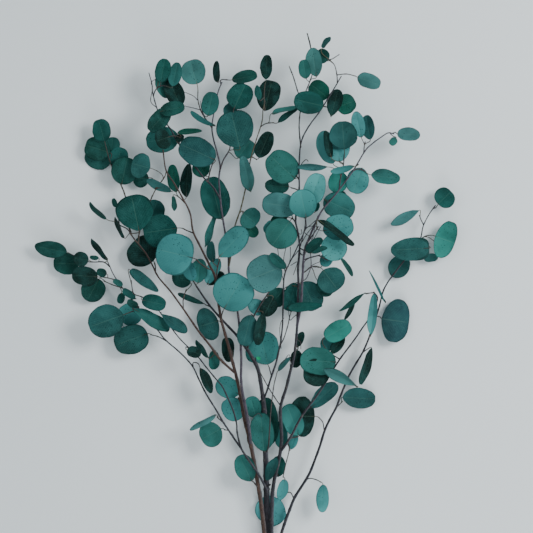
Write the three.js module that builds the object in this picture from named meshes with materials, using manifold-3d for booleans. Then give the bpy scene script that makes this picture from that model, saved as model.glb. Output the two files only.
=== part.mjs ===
// A cut eucalyptus branch lying on a flat surface: one woody stem that forks into limbs, and on
// the limbs small sprigs, each a twig with its stalks and round leaves.
// Millimetres, +Z up. The stem lies along Y with its cut end at -Y and its crown at +Y.

import * as THREE from 'three';
import { mergeVertices } from 'three/addons/utils/BufferGeometryUtils.js';
import Module from 'manifold-3d';

// Driving dimensions.
const SHOWN_LENGTH = 650;       // real length of the stretch of branch that the plan squares 33 to 533 hold
const SHOWN_SQUARES = 500;
const LEAF_THICKNESS = 1;
const OUTLINE_STEP = 11.5;      // length of outline, in millimetres, that a corner of a blade stands for
const OUTLINE_LEAST = 6;        // corners of the smallest blade's outline
const OUTLINE_MOST = 10;
const LEAF_FOLD = 0.16;         // how far a blade's sides rise for each millimetre away from its midrib
const STALK_RADIUS = 0.4;       // less than half the blade's thickness, so that a stalk ends inside it
const STALK_END = 1.2;          // how far a stalk reaches into its blade
const STALK_SIDES = 3;
const STALK_SLIP = 0.5;         // how far down its twig a stalk starts, as a share of its own length
const CLEAR_SHARE = 0.5;        // a stalk starts at least this share along its twig's first stretch
const GAP = 0.3;                // clearance left where a side piece meets the limb that carries it
const LIMB_SIDES = 5;
const TWIG_SIDES = 4;
const TAPER_POWER = 0.8;        // below 1 a limb thins fast at first and then slowly
const CROWN_SAG = 44;           // plan squares by which the far end of the crown hangs lower
const SIDE_SAG = 8;             // and its sides
const SAG_FROM = 470;           // plan square, counted down from the plan's top edge, where the sag starts
const SAG_LENGTH = 400;
const SAG_POWER = 1.3;
const SIDE_SAG_REACH = 100;
const SIDE_SAG_RUN = 0.25;      // share of the crown's length over which the side sag sets in
const CURVE_TENSION = 0.5;
const MERGE_DISTANCE = 1e-4;
const BARK_ROUGHNESS = 0.8;
const LEAF_ROUGHNESS = 0.6;

// The plan: the branch seen from above on squared paper. Across counts squares to the right, down
// counts them towards the cut end, and height counts squares above the surface before the sag.
const SQUARE = SHOWN_LENGTH / SHOWN_SQUARES;
const AXIS_ACROSS = 268;
const CENTRE = { across: 246, down: 320 };

// Colours of the leaves, from the darkest shade to the palest bloom.
const TONES = {
  black: 0x06201c, dark: 0x0c3c34, deep: 0x14524f, mid: 0x23706a, teal: 0x2f8079, green: 0x00584a,
  aqua: 0x41908a, light: 0x55a39c, slate: 0x3a6670, steel: 0x1f4f57, fresh: 0x3fa08c, dusk: 0x1f444d,
};
const BARK = { grey: 0x3a3638, red: 0x5a4038, olive: 0x5c5e46, purple: 0x5e5560 };

const wasm = await Module();
wasm.setup();

const twig = (r0, r1, ...points) => ({ r0, r1, points });
const leaf = (x0, y0, z0, x1, y1, z1, width, roll, tone, belly = 0.5) => (
  { base: [x0, y0, z0], tip: [x1, y1, z1], width, roll, tone, belly });
const sprig = (twigs, leaves) => ({ twigs, leaves });
const limb = (name, bark, stem, sprigs, from) => ({ name, bark, stem, sprigs, from });

// Every limb: its name, its bark, its own wood as twig(first radius, last radius, points), its sprigs
// and the limb that it forks from. A leaf is leaf(base across, down, height, tip across, down,
// height, width, roll about its midrib in degrees, tone, share of its length where it is widest).
// Radii are millimetres, the rest squares.
const BRANCH = [
  limb('main', 'grey', twig(5.6, 1.0, [268.5, 606, 4.05], [268, 585, 4.8], [267.5, 560, 6.2],
    [267.3, 540, 7.2], [267, 515, 8.5], [266.6, 494, 10], [266, 465, 13], [264.5, 435, 16],
    [264.5, 412, 19], [262, 392, 22], [258, 370, 25], [250, 354, 28], [245, 347, 30], [238, 337, 29.5],
    [222, 320, 30.5], [209, 305, 33], [196, 286, 37]), [
    sprig([twig(1.0, 0.8, [197, 287.5, 36.7], [192, 279, 39.5], [190, 272, 40.5])], [
      leaf(193, 281, 43, 187, 262, 46, 15, 30, 'aqua'),
      leaf(198, 283, 38, 200, 259, 37, 17, 15, 'teal')]),
    sprig([twig(0.8, 0.7, [211, 307.3, 32.6], [208, 306, 29.5], [205, 305, 29])], [
      leaf(204, 304, 29, 177, 293, 29.5, 9, 50, 'dark')]),
    sprig([twig(1.2, 0.8, [247, 350, 29.3], [249, 341, 33], [251, 328, 36], [254, 316, 38], [261, 304, 41],
      [269, 292, 44], [275, 284, 45])], [
      leaf(251, 315, 42, 243, 346, 39, 20, 15, 'steel'),
      leaf(263, 313, 40, 257, 345, 37, 15, 40, 'black'),
      leaf(262, 301, 36, 252, 313, 33, 19, 10, 'light'),
      leaf(273, 298, 38, 264, 316, 35, 17, 10, 'black')]),
    sprig([twig(0.9, 0.8, [265, 424, 17.5], [262, 421, 15], [259, 418, 14.5])], [
      leaf(257, 419, 15.8, 250, 397, 17.6, 17, 20, 'teal')]),
    sprig([twig(1.0, 0.8, [265.5, 456, 14], [267, 453, 10.5], [268, 450, 10])], [
      leaf(268, 448, 11, 266, 398, 14, 24, 6, 'dark')]),
    sprig([twig(1.0, 0.6, [265.6, 455, 14], [268.5, 447, 20.5], [269.5, 432, 27], [270.5, 415, 29],
      [272, 400, 29.5], [274, 385, 29.5], [277, 373, 29.5])], [
      leaf(278, 371, 30, 291, 357, 31, 8, 50, 'slate'),
      leaf(264, 452, 17.2, 260.5, 413, 21.4, 24, 4, 'mid')]),
    sprig([twig(0.9, 0.7, [259, 374.5, 24.4], [257, 369, 19.5], [256, 365, 17])], [
      leaf(255, 363, 16, 249, 347, 14, 13, 15, 'teal')]),
  ]),
  limb('left', 'red', twig(3.3, 0.8, [267.4, 556, 6.4], [265.3, 545, 10], [264.2, 533, 12.5],
    [261.5, 508, 15], [259, 491, 16], [252, 452, 19], [248.6, 436, 20.5], [244.5, 420, 22], [241, 400, 24],
    [238, 384, 26], [233, 364, 29], [229, 348, 31], [225, 334, 33], [221, 319, 36], [218, 300, 40],
    [215, 277, 44], [210, 266, 46], [205, 256, 48], [199, 244, 50], [193, 231, 53], [190, 213, 57],
    [182, 197, 60], [174, 183, 62], [166, 170, 64], [163, 150, 66]), [
    sprig([twig(1.0, 0.7, [259, 491, 16], [257, 487, 18], [253, 482, 18.5])], [
      leaf(252, 482, 18.5, 239, 456, 20, 21, 6, 'steel', 0.57)]),
    sprig([twig(1.0, 0.8, [242.3, 407, 23.2], [240, 402, 21], [238, 398, 20])], [
      leaf(239, 395, 20, 217, 381, 21, 22, 8, 'aqua'),
      leaf(243, 404, 19, 223, 415, 17, 25, 6, 'aqua')]),
    sprig([twig(0.9, 0.7, [231, 356, 30], [229, 349, 27], [227, 342, 25])], [
      leaf(226, 338, 25, 229, 363, 21, 14, 22, 'black', 0.4)]),
    sprig([twig(0.9, 0.7, [223, 327, 34.5], [221, 323, 32], [220, 322, 30])], [
      leaf(218, 321, 30, 198, 327, 27, 34, 5, 'steel')]),
    sprig([twig(0.9, 0.7, [221.5, 321, 35.6], [221.5, 316, 39], [223, 311, 43])], [
      leaf(224, 309, 45, 243, 276, 50, 41, 4, 'aqua')]),
    sprig([twig(0.9, 0.7, [216, 284, 42.8], [216.5, 277, 47.5], [217.5, 268, 51], [220, 259, 54])], [
      leaf(219, 257, 56, 246, 229, 59, 24, 8, 'aqua', 0.56),
      leaf(213, 262, 52, 210, 241, 53, 12, 40, 'steel')]),
    sprig([twig(0.9, 0.7, [215.4, 280, 43.4], [213, 280, 40], [210, 282, 38])], [
      leaf(207, 284, 39, 218, 258, 39, 15, 25, 'light'),
      leaf(209, 285, 36, 223, 272, 34, 14, 50, 'black')]),
    sprig([twig(0.9, 0.7, [212, 270, 45.3], [207, 268, 49.5], [200, 263, 53], [196, 259, 55])], [
      leaf(193, 258, 56, 157, 249, 58, 43, 4, 'aqua')]),
    sprig([twig(0.9, 0.7, [193.5, 233, 52.5], [188, 231, 50], [182, 228, 49])], [
      leaf(177, 228, 49, 143, 233, 47, 34, 5, 'deep')]),
    sprig([twig(0.9, 0.7, [185, 203, 59.3], [182, 200, 56], [179, 197, 55])], [
      leaf(176, 192, 55, 171, 164, 53, 14, 25, 'green'),
      leaf(186, 197, 52, 187, 163, 49, 15, 35, 'black'),
      leaf(173, 196, 57, 174, 211, 55, 10, 60, 'dark')]),
  ], 'main'),
  limb('left_fork', 'red', twig(1.8, 0.7, [235.3, 373, 27.7], [228, 367, 29.5], [219, 358, 32],
    [211, 347, 34], [199, 332, 36], [190, 319, 38], [181, 306, 40], [170, 291, 41], [158, 277, 42],
    [152, 265, 44], [146, 254, 45], [139, 245, 46], [133, 238, 46.5], [130, 231, 47]), [
    sprig([twig(0.9, 0.7, [216, 354, 32.8], [215, 351, 29.5], [213, 350, 28])], [
      leaf(213, 351, 27, 214, 370, 24, 14, 35, 'deep'),
      leaf(208, 358, 32, 196, 340, 34, 10, 55, 'dark')]),
    sprig([twig(0.8, 0.6, [183.3, 309.4, 39.5], [183, 300, 37], [186, 289, 34.5])], [
      leaf(190, 283, 33.5, 172, 274, 31.5, 18, 18, 'dark')]),
    sprig([twig(0.9, 0.7, [155, 271, 43], [155, 267, 40], [154, 263, 39])], [
      leaf(153, 261, 39, 132, 242, 36, 34, 5, 'black')]),
    sprig([twig(0.9, 0.7, [134, 239, 46.5], [131, 235, 50], [127, 229, 51], [119, 225, 51]),
      twig(0.8, 0.6, [119, 225, 51], [118, 216, 52], [117, 208, 53])], [
      leaf(139, 231, 53, 131, 195, 55, 38, 4, 'deep', 0.57),
      leaf(106, 219, 52, 88, 203, 54, 14, 66, 'dark'),
      leaf(124, 238, 53, 114, 217, 54, 12, 66, 'black'),
      leaf(116, 207, 54, 113, 198, 55, 7, 40, 'dark')]),
    sprig([twig(1.1, 0.7, [130.6, 233, 46.8], [126, 219, 46], [126, 205, 46], [124, 194, 46],
      [119, 182, 46.5], [113, 170, 47.5], [108, 159, 49])], [
      leaf(104, 141, 58, 98, 119, 59.5, 19, 8, 'deep'),
      leaf(109, 152, 49.5, 84, 144, 50.5, 24, 8, 'dark'),
      leaf(110, 161, 42.8, 83, 154, 40.5, 22, 11, 'mid'),
      leaf(110, 154, 45, 112, 136, 43.5, 16, 8, 'mid'),
      leaf(115, 166, 48.5, 121, 147, 49, 20, 8, 'deep'),
      leaf(121, 184, 51, 127, 157, 53.5, 27, 5, 'dark')]),
    sprig([twig(1.0, 0.6, [138, 243.5, 46.2], [139, 232, 43], [145, 215, 44], [150, 200, 47],
      [156, 188, 49], [164, 177, 51], [166, 171, 52])], [
      leaf(150, 168, 58, 131, 163, 59, 26, 6, 'steel'),
      leaf(148, 177, 46, 132, 179, 44, 18, 15, 'dark'),
      leaf(171, 191, 50.5, 146, 179, 52, 13, 48, 'slate'),
      leaf(148, 224, 41, 157, 200, 39, 24, 10, 'mid')]),
  ], 'left'),
  limb('grey', 'purple', twig(2.1, 0.7, [250.6, 445, 19.7], [250, 437, 24], [248.6, 425, 26.5],
    [245.6, 408, 28.5], [242.5, 392, 31], [241, 378, 33], [241.3, 364, 34.5], [241, 350, 36],
    [239.5, 330, 37.5], [237.5, 311, 40], [233, 290, 43], [229, 273, 45], [228, 251, 48], [224, 226, 52],
    [221, 205, 55], [219, 180, 58], [220, 166, 60], [217, 152, 61], [213, 137, 63], [212, 125, 64],
    [215, 107, 66], [218, 92, 68], [222, 82, 69]), [
    sprig([twig(0.9, 0.7, [223.5, 222, 52.5], [222, 216, 49.5], [221.5, 214, 49])], [
      leaf(221, 219, 49, 210, 177, 51, 29, 8, 'deep'),
      leaf(216, 210, 46.2, 204, 247, 45, 10, 50, 'mid')]),
    sprig([twig(1.0, 0.6, [219.6, 172, 59.2], [223, 161, 62], [230, 148, 65], [227, 136, 66],
      [228, 123, 67], [234, 112, 69])], [
      leaf(240, 148, 69, 231, 111, 71, 38, 4, 'steel', 0.55),
      leaf(238, 158, 60, 251, 140, 57, 22, 8, 'mid'),
      leaf(234, 109, 73, 246, 84, 75, 25, 6, 'deep'),
      leaf(226, 117, 66, 234, 103, 64, 13, 10, 'steel')]),
    sprig([twig(0.9, 0.6, [212.2, 128, 63.7], [207, 121, 67], [201, 111, 70], [198, 100, 72],
      [198, 91, 73])], [
      leaf(197, 84, 74, 190, 60, 76, 25, 5, 'slate'),
      leaf(208, 116, 71, 213, 92, 73, 18, 12, 'mid'),
      leaf(215, 126, 71, 190, 113, 72, 11, 62, 'aqua')]),
    sprig([twig(0.8, 0.6, [221, 85, 68.8], [221, 80, 72], [228, 80, 73])], [
      leaf(232, 80, 73, 257, 75, 75, 16, 35, 'dark'),
      leaf(217.5, 82.5, 74, 216.5, 61, 76, 12, 50, 'black')]),
  ], 'left'),
  limb('tall_left', 'grey', twig(1.2, 0.6, [220.3, 199, 55.8], [213, 187, 59], [204, 178, 62],
    [197, 169, 64], [190, 160, 66], [177, 141, 70], [171, 130, 72], [163, 119, 74], [158, 111, 75],
    [153, 94, 77], [152, 84, 78], [149, 73, 79]), [
    sprig([twig(0.9, 0.7, [208, 182, 60.7], [210, 172, 64], [213, 163, 67])], [
      leaf(215, 160, 68, 180, 144, 70, 29, 4, 'steel', 0.47),
      leaf(206, 176, 58, 197, 160, 55, 19, 10, 'green')]),
    sprig([twig(0.9, 0.6, [179, 144, 69.4], [181, 138, 72], [181, 134, 74])], [
      leaf(178, 133, 75, 202, 131, 77, 12, 58, 'green'),
      leaf(170, 137, 76, 156, 142, 77, 21, 12, 'black'),
      leaf(179, 137, 66, 146, 142, 64, 26, 6, 'mid'),
      leaf(177, 142, 73, 183, 135, 71.5, 8, 20, 'black')]),
    sprig([twig(0.9, 0.6, [160, 114, 74.6], [162, 108, 77], [168, 108, 79])], [
      leaf(160, 112, 81, 185, 107, 82, 16, 20, 'dark'),
      leaf(170, 109, 78, 150, 131, 79, 18, 12, 'dark'),
      leaf(181, 107, 77.5, 169, 80, 76.5, 19, 4, 'black')]),
    sprig([twig(0.8, 0.6, [153.4, 96, 76.8], [156, 90, 79], [162, 86, 80], [169, 87, 80])], [
      leaf(161, 83, 81, 165, 59, 83, 16, 10, 'deep'),
      leaf(159, 72, 73.5, 168, 98, 73.6, 16, 6, 'mid'),
      leaf(173, 87, 82, 178, 63, 84, 14, 15, 'mid')]),
  ], 'grey'),
  limb('olive', 'olive', twig(1.2, 0.6, [228.7, 266, 46], [230.5, 257, 49], [232, 243, 51], [235, 226, 54],
    [241, 208, 57], [247, 182, 61], [249, 170, 63], [251, 158, 65], [257, 138, 68], [262, 122, 70],
    [263, 111, 72], [265, 101, 73]), [
    sprig([twig(0.9, 0.6, [239.5, 213, 56.3], [242, 211, 53], [244, 212, 52])], [
      leaf(243, 213, 52, 257, 224, 50, 23, 10, 'mid'),
      leaf(247, 226, 50, 257, 236, 47, 13, 12, 'green')]),
    sprig([twig(0.8, 0.6, [246, 187, 60.3], [248, 187, 63], [250, 189, 65])], [
      leaf(251, 192, 65, 243, 156, 66, 16, 35, 'slate')]),
    sprig([twig(0.9, 0.6, [251.4, 157, 65.2], [254, 158, 62], [257, 160, 61])], [
      leaf(259, 158, 61, 270, 131, 59, 17, 15, 'black', 0.43)]),
    sprig([twig(0.8, 0.6, [260.5, 127, 69.3], [266, 124, 72], [274, 123, 73])], [
      leaf(278, 123, 73, 297, 109, 75, 12, 60, 'deep'),
      leaf(272, 114, 75, 296, 107, 76, 12, 60, 'teal')]),
    sprig([twig(0.9, 0.6, [264.5, 104, 72.7], [264, 95, 76], [265, 84, 78])], [
      leaf(266, 80, 79, 267, 55, 81, 13, 20, 'black'),
      leaf(265, 111, 69, 272, 80, 67, 23, 6, 'black', 0.58),
      leaf(260, 101, 79, 257, 86, 81, 9, 45, 'mid')]),
  ], 'grey'),
  limb('right', 'grey', twig(3.0, 0.7, [267.8, 571, 5.7], [270.4, 556, 9.3], [271.6, 540, 12],
    [271.5, 520, 13.5], [272, 505, 14], [272.5, 494, 14.5], [274.5, 480, 15.5], [277.5, 467, 17],
    [280, 455, 19], [281.7, 440, 21], [281, 425, 23], [280.5, 409, 25], [283, 398, 27], [286, 389, 28],
    [290, 373, 31], [294, 357, 34], [296, 340, 37], [297.5, 320, 40], [298, 300, 44], [298.5, 285, 47],
    [298, 270, 50], [299, 256, 53], [299.5, 245, 56], [297.5, 231, 60], [295.5, 221, 63], [297, 205, 66],
    [299, 190, 69], [299, 165, 73], [301, 143, 77], [308, 128, 79], [319, 113, 81], [326, 102, 83],
    [334, 89, 85], [341, 77, 87]), [
    sprig([twig(1.0, 0.8, [276.2, 472, 16.2], [273, 475, 20], [269, 478, 22])], [
      leaf(266, 481, 23, 277, 458, 25, 13, 35, 'steel')]),
    sprig([twig(1.0, 0.8, [275.8, 474, 16], [278, 476, 13], [278, 477, 12])], [
      leaf(278, 478, 12, 279, 457, 11, 15, 12, 'deep')]),
    sprig([twig(0.9, 0.7, [281.8, 443, 20.7], [283, 448, 17.5], [283, 450, 17])], [
      leaf(283, 450, 15, 280, 422, 14, 17, 35, 'teal')]),
    sprig([twig(0.9, 0.8, [295, 351, 35], [298, 349, 32], [298, 347, 31])], [
      leaf(297, 347, 31, 303, 332, 29, 9, 20, 'black'),
      leaf(297, 350, 30, 295, 368, 27, 13, 25, 'black')]),
    sprig([twig(1.0, 0.8, [298.2, 294, 45.2], [299, 288, 42], [299.5, 284, 40])], [
      leaf(296, 283, 38, 287, 311, 34, 18, 12, 'deep'),
      leaf(303, 282, 38, 316, 310, 34, 27, 5, 'steel'),
      leaf(284, 289, 36, 271, 305, 33, 20, 10, 'dark')]),
    sprig([twig(0.9, 0.7, [298, 304, 43.2], [294, 305, 46], [290, 307, 50])], [
      leaf(288, 308, 52, 322, 306, 54, 12, 40, 'deep')]),
    sprig([twig(0.8, 0.7, [299.2, 252, 54.1], [302, 255, 60], [305, 254, 65])], [
      leaf(306, 252, 66, 322, 239, 68, 14, 45, 'dark')]),
    sprig([twig(0.8, 0.7, [299.4, 248, 55.2], [303, 250, 60], [307, 252, 62])], [
      leaf(311, 253, 62, 327, 247, 62, 9, 50, 'mid')]),
    sprig([twig(0.9, 0.7, [296, 224, 62.3], [293, 219, 60.5], [291, 218, 60])], [
      leaf(290, 221, 60, 272, 246, 58, 32, 6, 'teal'),
      leaf(276, 222, 55, 266, 234, 53, 15, 12, 'aqua'),
      leaf(289, 214, 58, 271, 221, 57, 10, 15, 'green')]),
    sprig([twig(0.9, 0.7, [296.6, 208, 65.5], [293, 207, 63.5], [291, 206, 63])], [
      leaf(298, 208, 63.5, 262, 203, 66, 25, 6, 'slate')]),
    sprig([twig(0.9, 0.7, [296.3, 212, 64.6], [299, 215, 69], [302, 217, 71])], [
      leaf(306, 218, 72, 300, 190, 75, 28, 4, 'aqua')]),
    sprig([twig(0.9, 0.7, [299, 180, 70.6], [297, 177, 68.5], [295.5, 176, 68.5])], [
      leaf(295, 179, 68, 269, 155, 69.5, 31, 4, 'mid')]),
    sprig([twig(0.9, 0.7, [299, 191, 68.8], [295, 189, 65], [291, 188, 63.5])], [
      leaf(289, 187, 63, 265, 185, 60, 16, 10, 'dark')]),
    sprig([twig(0.9, 0.6, [300.6, 148, 76.3], [299, 128, 80], [300, 113, 83], [303, 99, 85], [309, 84, 87],
      [313, 70, 87], [311, 52, 87], [307, 34, 87]),
      twig(0.7, 0.5, [302, 102, 84.6], [297, 91, 86], [294, 80, 87], [289, 67, 88])], [
      leaf(316, 78, 91, 312, 49, 93, 17, 15, 'slate'),
      leaf(306, 80, 90, 303, 61, 92, 13, 20, 'mid')]),
    sprig([twig(0.9, 0.7, [323, 107, 82], [328, 108, 79.5], [332, 109, 79])], [
      leaf(323, 107, 85, 294, 100, 86, 23, 5, 'deep'),
      leaf(328, 98, 78, 310, 84, 75, 20, 8, 'green'),
      leaf(331, 117, 83, 338, 90, 81, 16, 18, 'black', 0.57),
      leaf(336, 108, 76, 355, 101, 73, 21, 8, 'green')]),
    sprig([twig(0.8, 0.5, [337, 84, 86], [336.5, 76, 89.5], [334, 66, 90.5], [328, 61, 91]),
      twig(0.7, 0.6, [336.5, 76, 89.5], [346, 75, 89.5], [355, 77, 89])], [
      leaf(327, 62, 90, 317, 52, 88, 15, 10, 'dark'),
      leaf(357, 78, 89, 380, 86, 91, 16, 12, 'slate'),
      leaf(322, 49, 92, 330, 38, 94, 10, 55, 'steel')]),
  ], 'main'),
  limb('upper_right', 'purple', twig(1.8, 0.7, [297, 326, 39], [299.5, 313, 44], [301.2, 300, 48],
    [302, 285, 50], [302.8, 270, 53], [303.5, 258, 56], [305, 248, 58.5], [309, 238, 60], [315, 224, 62],
    [321, 212, 64], [328, 203, 66], [335, 195, 67], [342, 186, 68], [350, 175, 69], [356, 166, 70],
    [365, 151, 71], [372, 144, 72], [380, 138, 72], [388, 133, 72], [394, 134, 71]), [
    sprig([twig(0.9, 0.7, [302.6, 273, 52.4], [306, 271, 50], [311, 267, 50], [316, 267, 50])], [
      leaf(323, 270, 49, 338, 290, 47, 29, 5, 'dusk'),
      leaf(318, 281, 44, 332, 294, 41, 17, 10, 'dark'),
      leaf(322, 266, 46, 331, 254, 44, 13, 10, 'aqua')]),
    sprig([twig(0.9, 0.7, [303.4, 260, 55.5], [309, 258, 54], [316, 256, 54], [320, 255, 54]),
      twig(0.7, 0.6, [318, 255.4, 54], [328, 260, 50], [337, 258, 49])], [
      leaf(324, 257, 54, 343, 239, 56, 27, 6, 'light'),
      leaf(340, 257, 49, 353, 276, 47, 10, 60, 'dark')]),
    sprig([twig(0.9, 0.7, [306.5, 244, 59], [312, 236, 63], [318, 227, 65])], [
      leaf(323, 231, 62, 353, 224, 60, 26, 5, 'aqua'),
      leaf(318, 220, 68, 354, 245, 70, 12, 50, 'black')]),
    sprig([twig(0.9, 0.7, [325, 206.6, 65.2], [327, 205, 62], [329, 201, 60], [332, 197, 59])], [
      leaf(324, 199, 60, 354, 213, 57, 27, 5, 'mid'),
      leaf(335, 193, 60, 341, 172, 60, 20, 8, 'fresh'),
      leaf(337, 199, 56, 346, 193, 54, 9, 10, 'dark')]),
    sprig([twig(0.9, 0.7, [339, 190, 67.5], [340, 180, 71], [343, 166, 74], [344, 155, 76])], [
      leaf(344, 150, 79, 342, 122, 81, 28, 5, 'steel'),
      leaf(339, 162, 74, 337, 136, 72, 24, 6, 'light'),
      leaf(333, 164, 69, 322, 131, 66, 21, 12, 'light'),
      leaf(331, 158, 77, 325, 131, 77.5, 9, 20, 'black'),
      leaf(327, 167.5, 76, 296, 167, 77, 12, 58, 'slate')]),
    sprig([twig(0.9, 0.7, [352.4, 171.4, 69.4], [358, 169, 66], [365, 171, 65])], [
      leaf(362, 168, 64, 353, 193, 61.5, 23, 6, 'aqua'),
      leaf(371, 175, 65, 400, 179, 63, 16, 15, 'mid')]),
    sprig([twig(0.8, 0.6, [363.5, 153.5, 70.9], [364, 147, 73], [365, 142, 74])], [
      leaf(370, 140, 75, 366, 115, 76, 14, 20, 'steel'),
      leaf(361, 138, 80, 355, 112, 82, 14, 15, 'light')]),
    sprig([twig(0.8, 0.6, [357, 164.3, 70.1], [358, 165, 76], [357, 166, 79])], [
      leaf(354, 167, 81, 330, 172, 83, 11, 52, 'aqua')]),
    sprig([twig(0.7, 0.6, [392, 133.5, 71.3], [395, 132.5, 73], [396, 133, 73.5])], [
      leaf(397, 134, 74, 420, 135, 75, 15, 20, 'slate')]),
    sprig([twig(0.7, 0.6, [390, 133.3, 71.7], [392, 135.5, 72], [394, 137, 72.5])], [
      leaf(396, 138, 72, 390, 145, 71, 8, 15, 'mid')]),
  ], 'right'),
  limb('inner', 'grey', twig(1.4, 0.6, [263.3, 401, 20.7], [267, 391, 25.5], [271, 378, 28],
    [276, 363, 31], [279, 350, 33], [281, 340, 35], [282.5, 325, 37], [283, 310, 40], [283.3, 298, 42],
    [283.5, 285, 44], [285, 273, 48], [290, 262, 53], [295, 252, 60], [300, 241, 63], [304, 232, 65],
    [306, 226, 66], [305, 214, 67], [307, 207, 68]), [
    sprig([twig(0.8, 0.6, [271.5, 376, 28.4], [270, 371, 25], [269, 367, 23])], [
      leaf(268, 365, 22, 260, 333, 19, 31, 4, 'aqua')]),
    sprig([twig(0.8, 0.6, [279.8, 346, 33.8], [284, 338, 36], [288, 325, 38], [290, 315, 39])], [
      leaf(291, 312, 39, 293, 303, 40, 7, 30, 'dark')]),
    sprig([twig(0.8, 0.6, [285.6, 271.5, 48.5], [284, 268, 51], [282, 267, 53])], [
      leaf(281, 267, 54, 248, 280, 56, 37, 4, 'slate', 0.55),
      leaf(286, 268, 61.5, 270, 254, 63.5, 13, 40, 'mid')]),
    sprig([twig(0.8, 0.6, [306.5, 208, 67.8], [308, 204, 70], [309, 202, 70])], [
      leaf(309, 205, 71, 320, 174, 75, 22, 10, 'slate'),
      leaf(315, 212, 70, 318, 203, 71, 7, 35, 'deep')]),
  ], 'main'),
  limb('low_right', 'grey', twig(1.8, 0.8, [281.3, 451, 19.7], [285, 446, 23.5], [289, 440, 25],
    [293, 433, 26], [298, 423, 27], [304, 413, 28], [310, 405, 29], [316, 397, 29.5], [323, 387, 30],
    [329, 376, 31], [335, 367, 32], [341, 358, 33], [347, 350, 34], [356, 338, 35], [362, 329, 36],
    [369, 319, 37], [375, 307, 38], [378, 298, 38.5], [374, 292, 39]), [
    sprig([twig(0.9, 0.6, [287, 443, 24.2], [289, 447, 21], [289, 452, 20], [286, 464, 19],
      [283, 478, 18])], [
      leaf(285, 480, 18, 280, 501, 16, 12, 20, 'aqua'),
      leaf(291, 450, 18.3, 296, 434, 16.8, 10, 20, 'aqua')]),
    sprig([twig(0.8, 0.6, [290, 438.5, 25.2], [294, 438, 23], [297, 437, 21.5])], [
      leaf(299, 436, 21, 287, 405, 19.5, 21, 6, 'mid')]),
    sprig([twig(0.9, 0.6, [308, 407.7, 28.7], [310, 408, 25], [311, 408, 24])], [
      leaf(311, 408, 24, 337, 384, 23, 17, 15, 'steel', 0.57)]),
    sprig([twig(0.8, 0.6, [329.5, 375, 31], [329, 374, 33], [328, 374, 34])], [
      leaf(330, 373, 34, 303, 372, 34.5, 28, 4, 'black')]),
    sprig([twig(0.9, 0.7, [333, 370, 31.6], [334, 364, 35], [336, 362, 37.5])], [
      leaf(336, 362, 38, 300, 360, 39, 28, 4, 'teal')]),
    sprig([twig(0.9, 0.6, [340, 359.5, 32.8], [336, 357, 31], [333, 355, 30])], [
      leaf(325, 338, 37, 351, 324, 39, 20, 8, 'fresh', 0.45),
      leaf(332, 354, 31, 344, 336, 33, 12, 25, 'black'),
      leaf(328, 352, 26, 326, 337, 25, 13, 8, 'aqua')]),
    sprig([twig(0.8, 0.6, [375, 292.8, 39], [371, 293, 41], [366, 294, 41])], [
      leaf(365, 293, 41, 339, 311, 39, 9, 55, 'dark'),
      leaf(355, 301, 31, 345, 320, 28.5, 7, 45, 'black')]),
  ], 'right'),
  limb('outer_right', 'grey', twig(2.2, 0.7, [268.1, 588, 4.9], [272.8, 572, 6.4], [277.4, 551, 9],
    [282, 533, 11], [289, 513, 12.5], [294.5, 499, 14], [300, 490, 15], [307, 479, 16], [311.5, 470, 17],
    [316, 458, 18], [320, 447, 19], [325, 431, 20], [330.5, 419, 21], [336.5, 408, 22], [341, 396, 23],
    [345.5, 385, 24], [350.5, 374, 25], [357, 363, 26], [363, 353, 27], [368, 342, 28], [372, 331, 29.5],
    [376.5, 318, 31], [380, 306, 32.5], [383.5, 292, 34], [388, 283, 35], [393, 276, 36], [399, 268, 38],
    [406, 259, 39], [413, 249, 40], [421, 239, 41], [424, 226, 42], [430, 214, 43], [436.5, 205, 43.5]), [
    sprig([twig(0.8, 0.6, [294, 500, 13.9], [291, 494, 13], [287, 494, 10], [283, 497, 7])], [
      leaf(281, 502, 4.2, 261, 523, 1.2, 32, 0, 'light')]),
    sprig([twig(0.8, 0.6, [306, 480.5, 15.9], [311, 479, 18], [318, 481, 19], [321, 483, 19])], [
      leaf(323, 485, 19, 322, 513, 17, 14, 20, 'aqua')]),
    sprig([twig(0.8, 0.6, [324.5, 432.5, 19.9], [323, 423, 22], [319, 418, 23])], [
      leaf(315, 417, 18, 290, 417, 15.5, 41, 4, 'black')]),
    sprig([twig(0.8, 0.6, [336, 409, 21.9], [340, 405, 20], [343, 402, 18])], [
      leaf(343, 398, 17, 376, 400, 13, 21, 5, 'steel')]),
    sprig([twig(0.8, 0.6, [346.5, 382.6, 24.2], [352, 384, 32], [357, 387, 39])], [
      leaf(357, 386, 43, 324, 368, 45, 13, 32, 'slate', 0.64)]),
    sprig([twig(0.8, 0.6, [363, 353, 27], [367, 350, 30], [370, 348, 31])], [
      leaf(372, 348, 31, 361, 385, 28, 12, 38, 'black', 0.57)]),
    sprig([twig(0.8, 0.6, [377, 316.5, 31.2], [380, 317, 29], [382, 318, 28])], [
      leaf(382, 319, 27, 410, 323, 23, 44, 4, 'dusk', 0.53)]),
    sprig([twig(0.8, 0.6, [372.5, 329.5, 29.6], [371, 333, 33], [371, 335, 37])], [
      leaf(371, 335, 42, 375, 293, 48, 11, 35, 'light')]),
    sprig([twig(0.7, 0.6, [382, 298, 33.3], [385, 300, 36], [386, 302, 40])], [
      leaf(385, 302, 43, 370, 270, 48, 5, 62, 'aqua')]),
    sprig([twig(0.8, 0.6, [390, 280, 35.4], [392, 278, 32], [393, 277, 31])], [
      leaf(393, 277, 29.9, 407, 257, 26.7, 21, 5, 'dusk')]),
    sprig([twig(0.8, 0.6, [419, 241.5, 40.7], [424, 243, 44.5], [427, 245, 46])], [
      leaf(430, 248, 47, 391, 250, 48, 24, 8, 'dusk', 0.4)]),
    sprig([twig(0.8, 0.6, [420, 240.2, 40.9], [426, 236, 42], [432, 235, 42])], [
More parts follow.
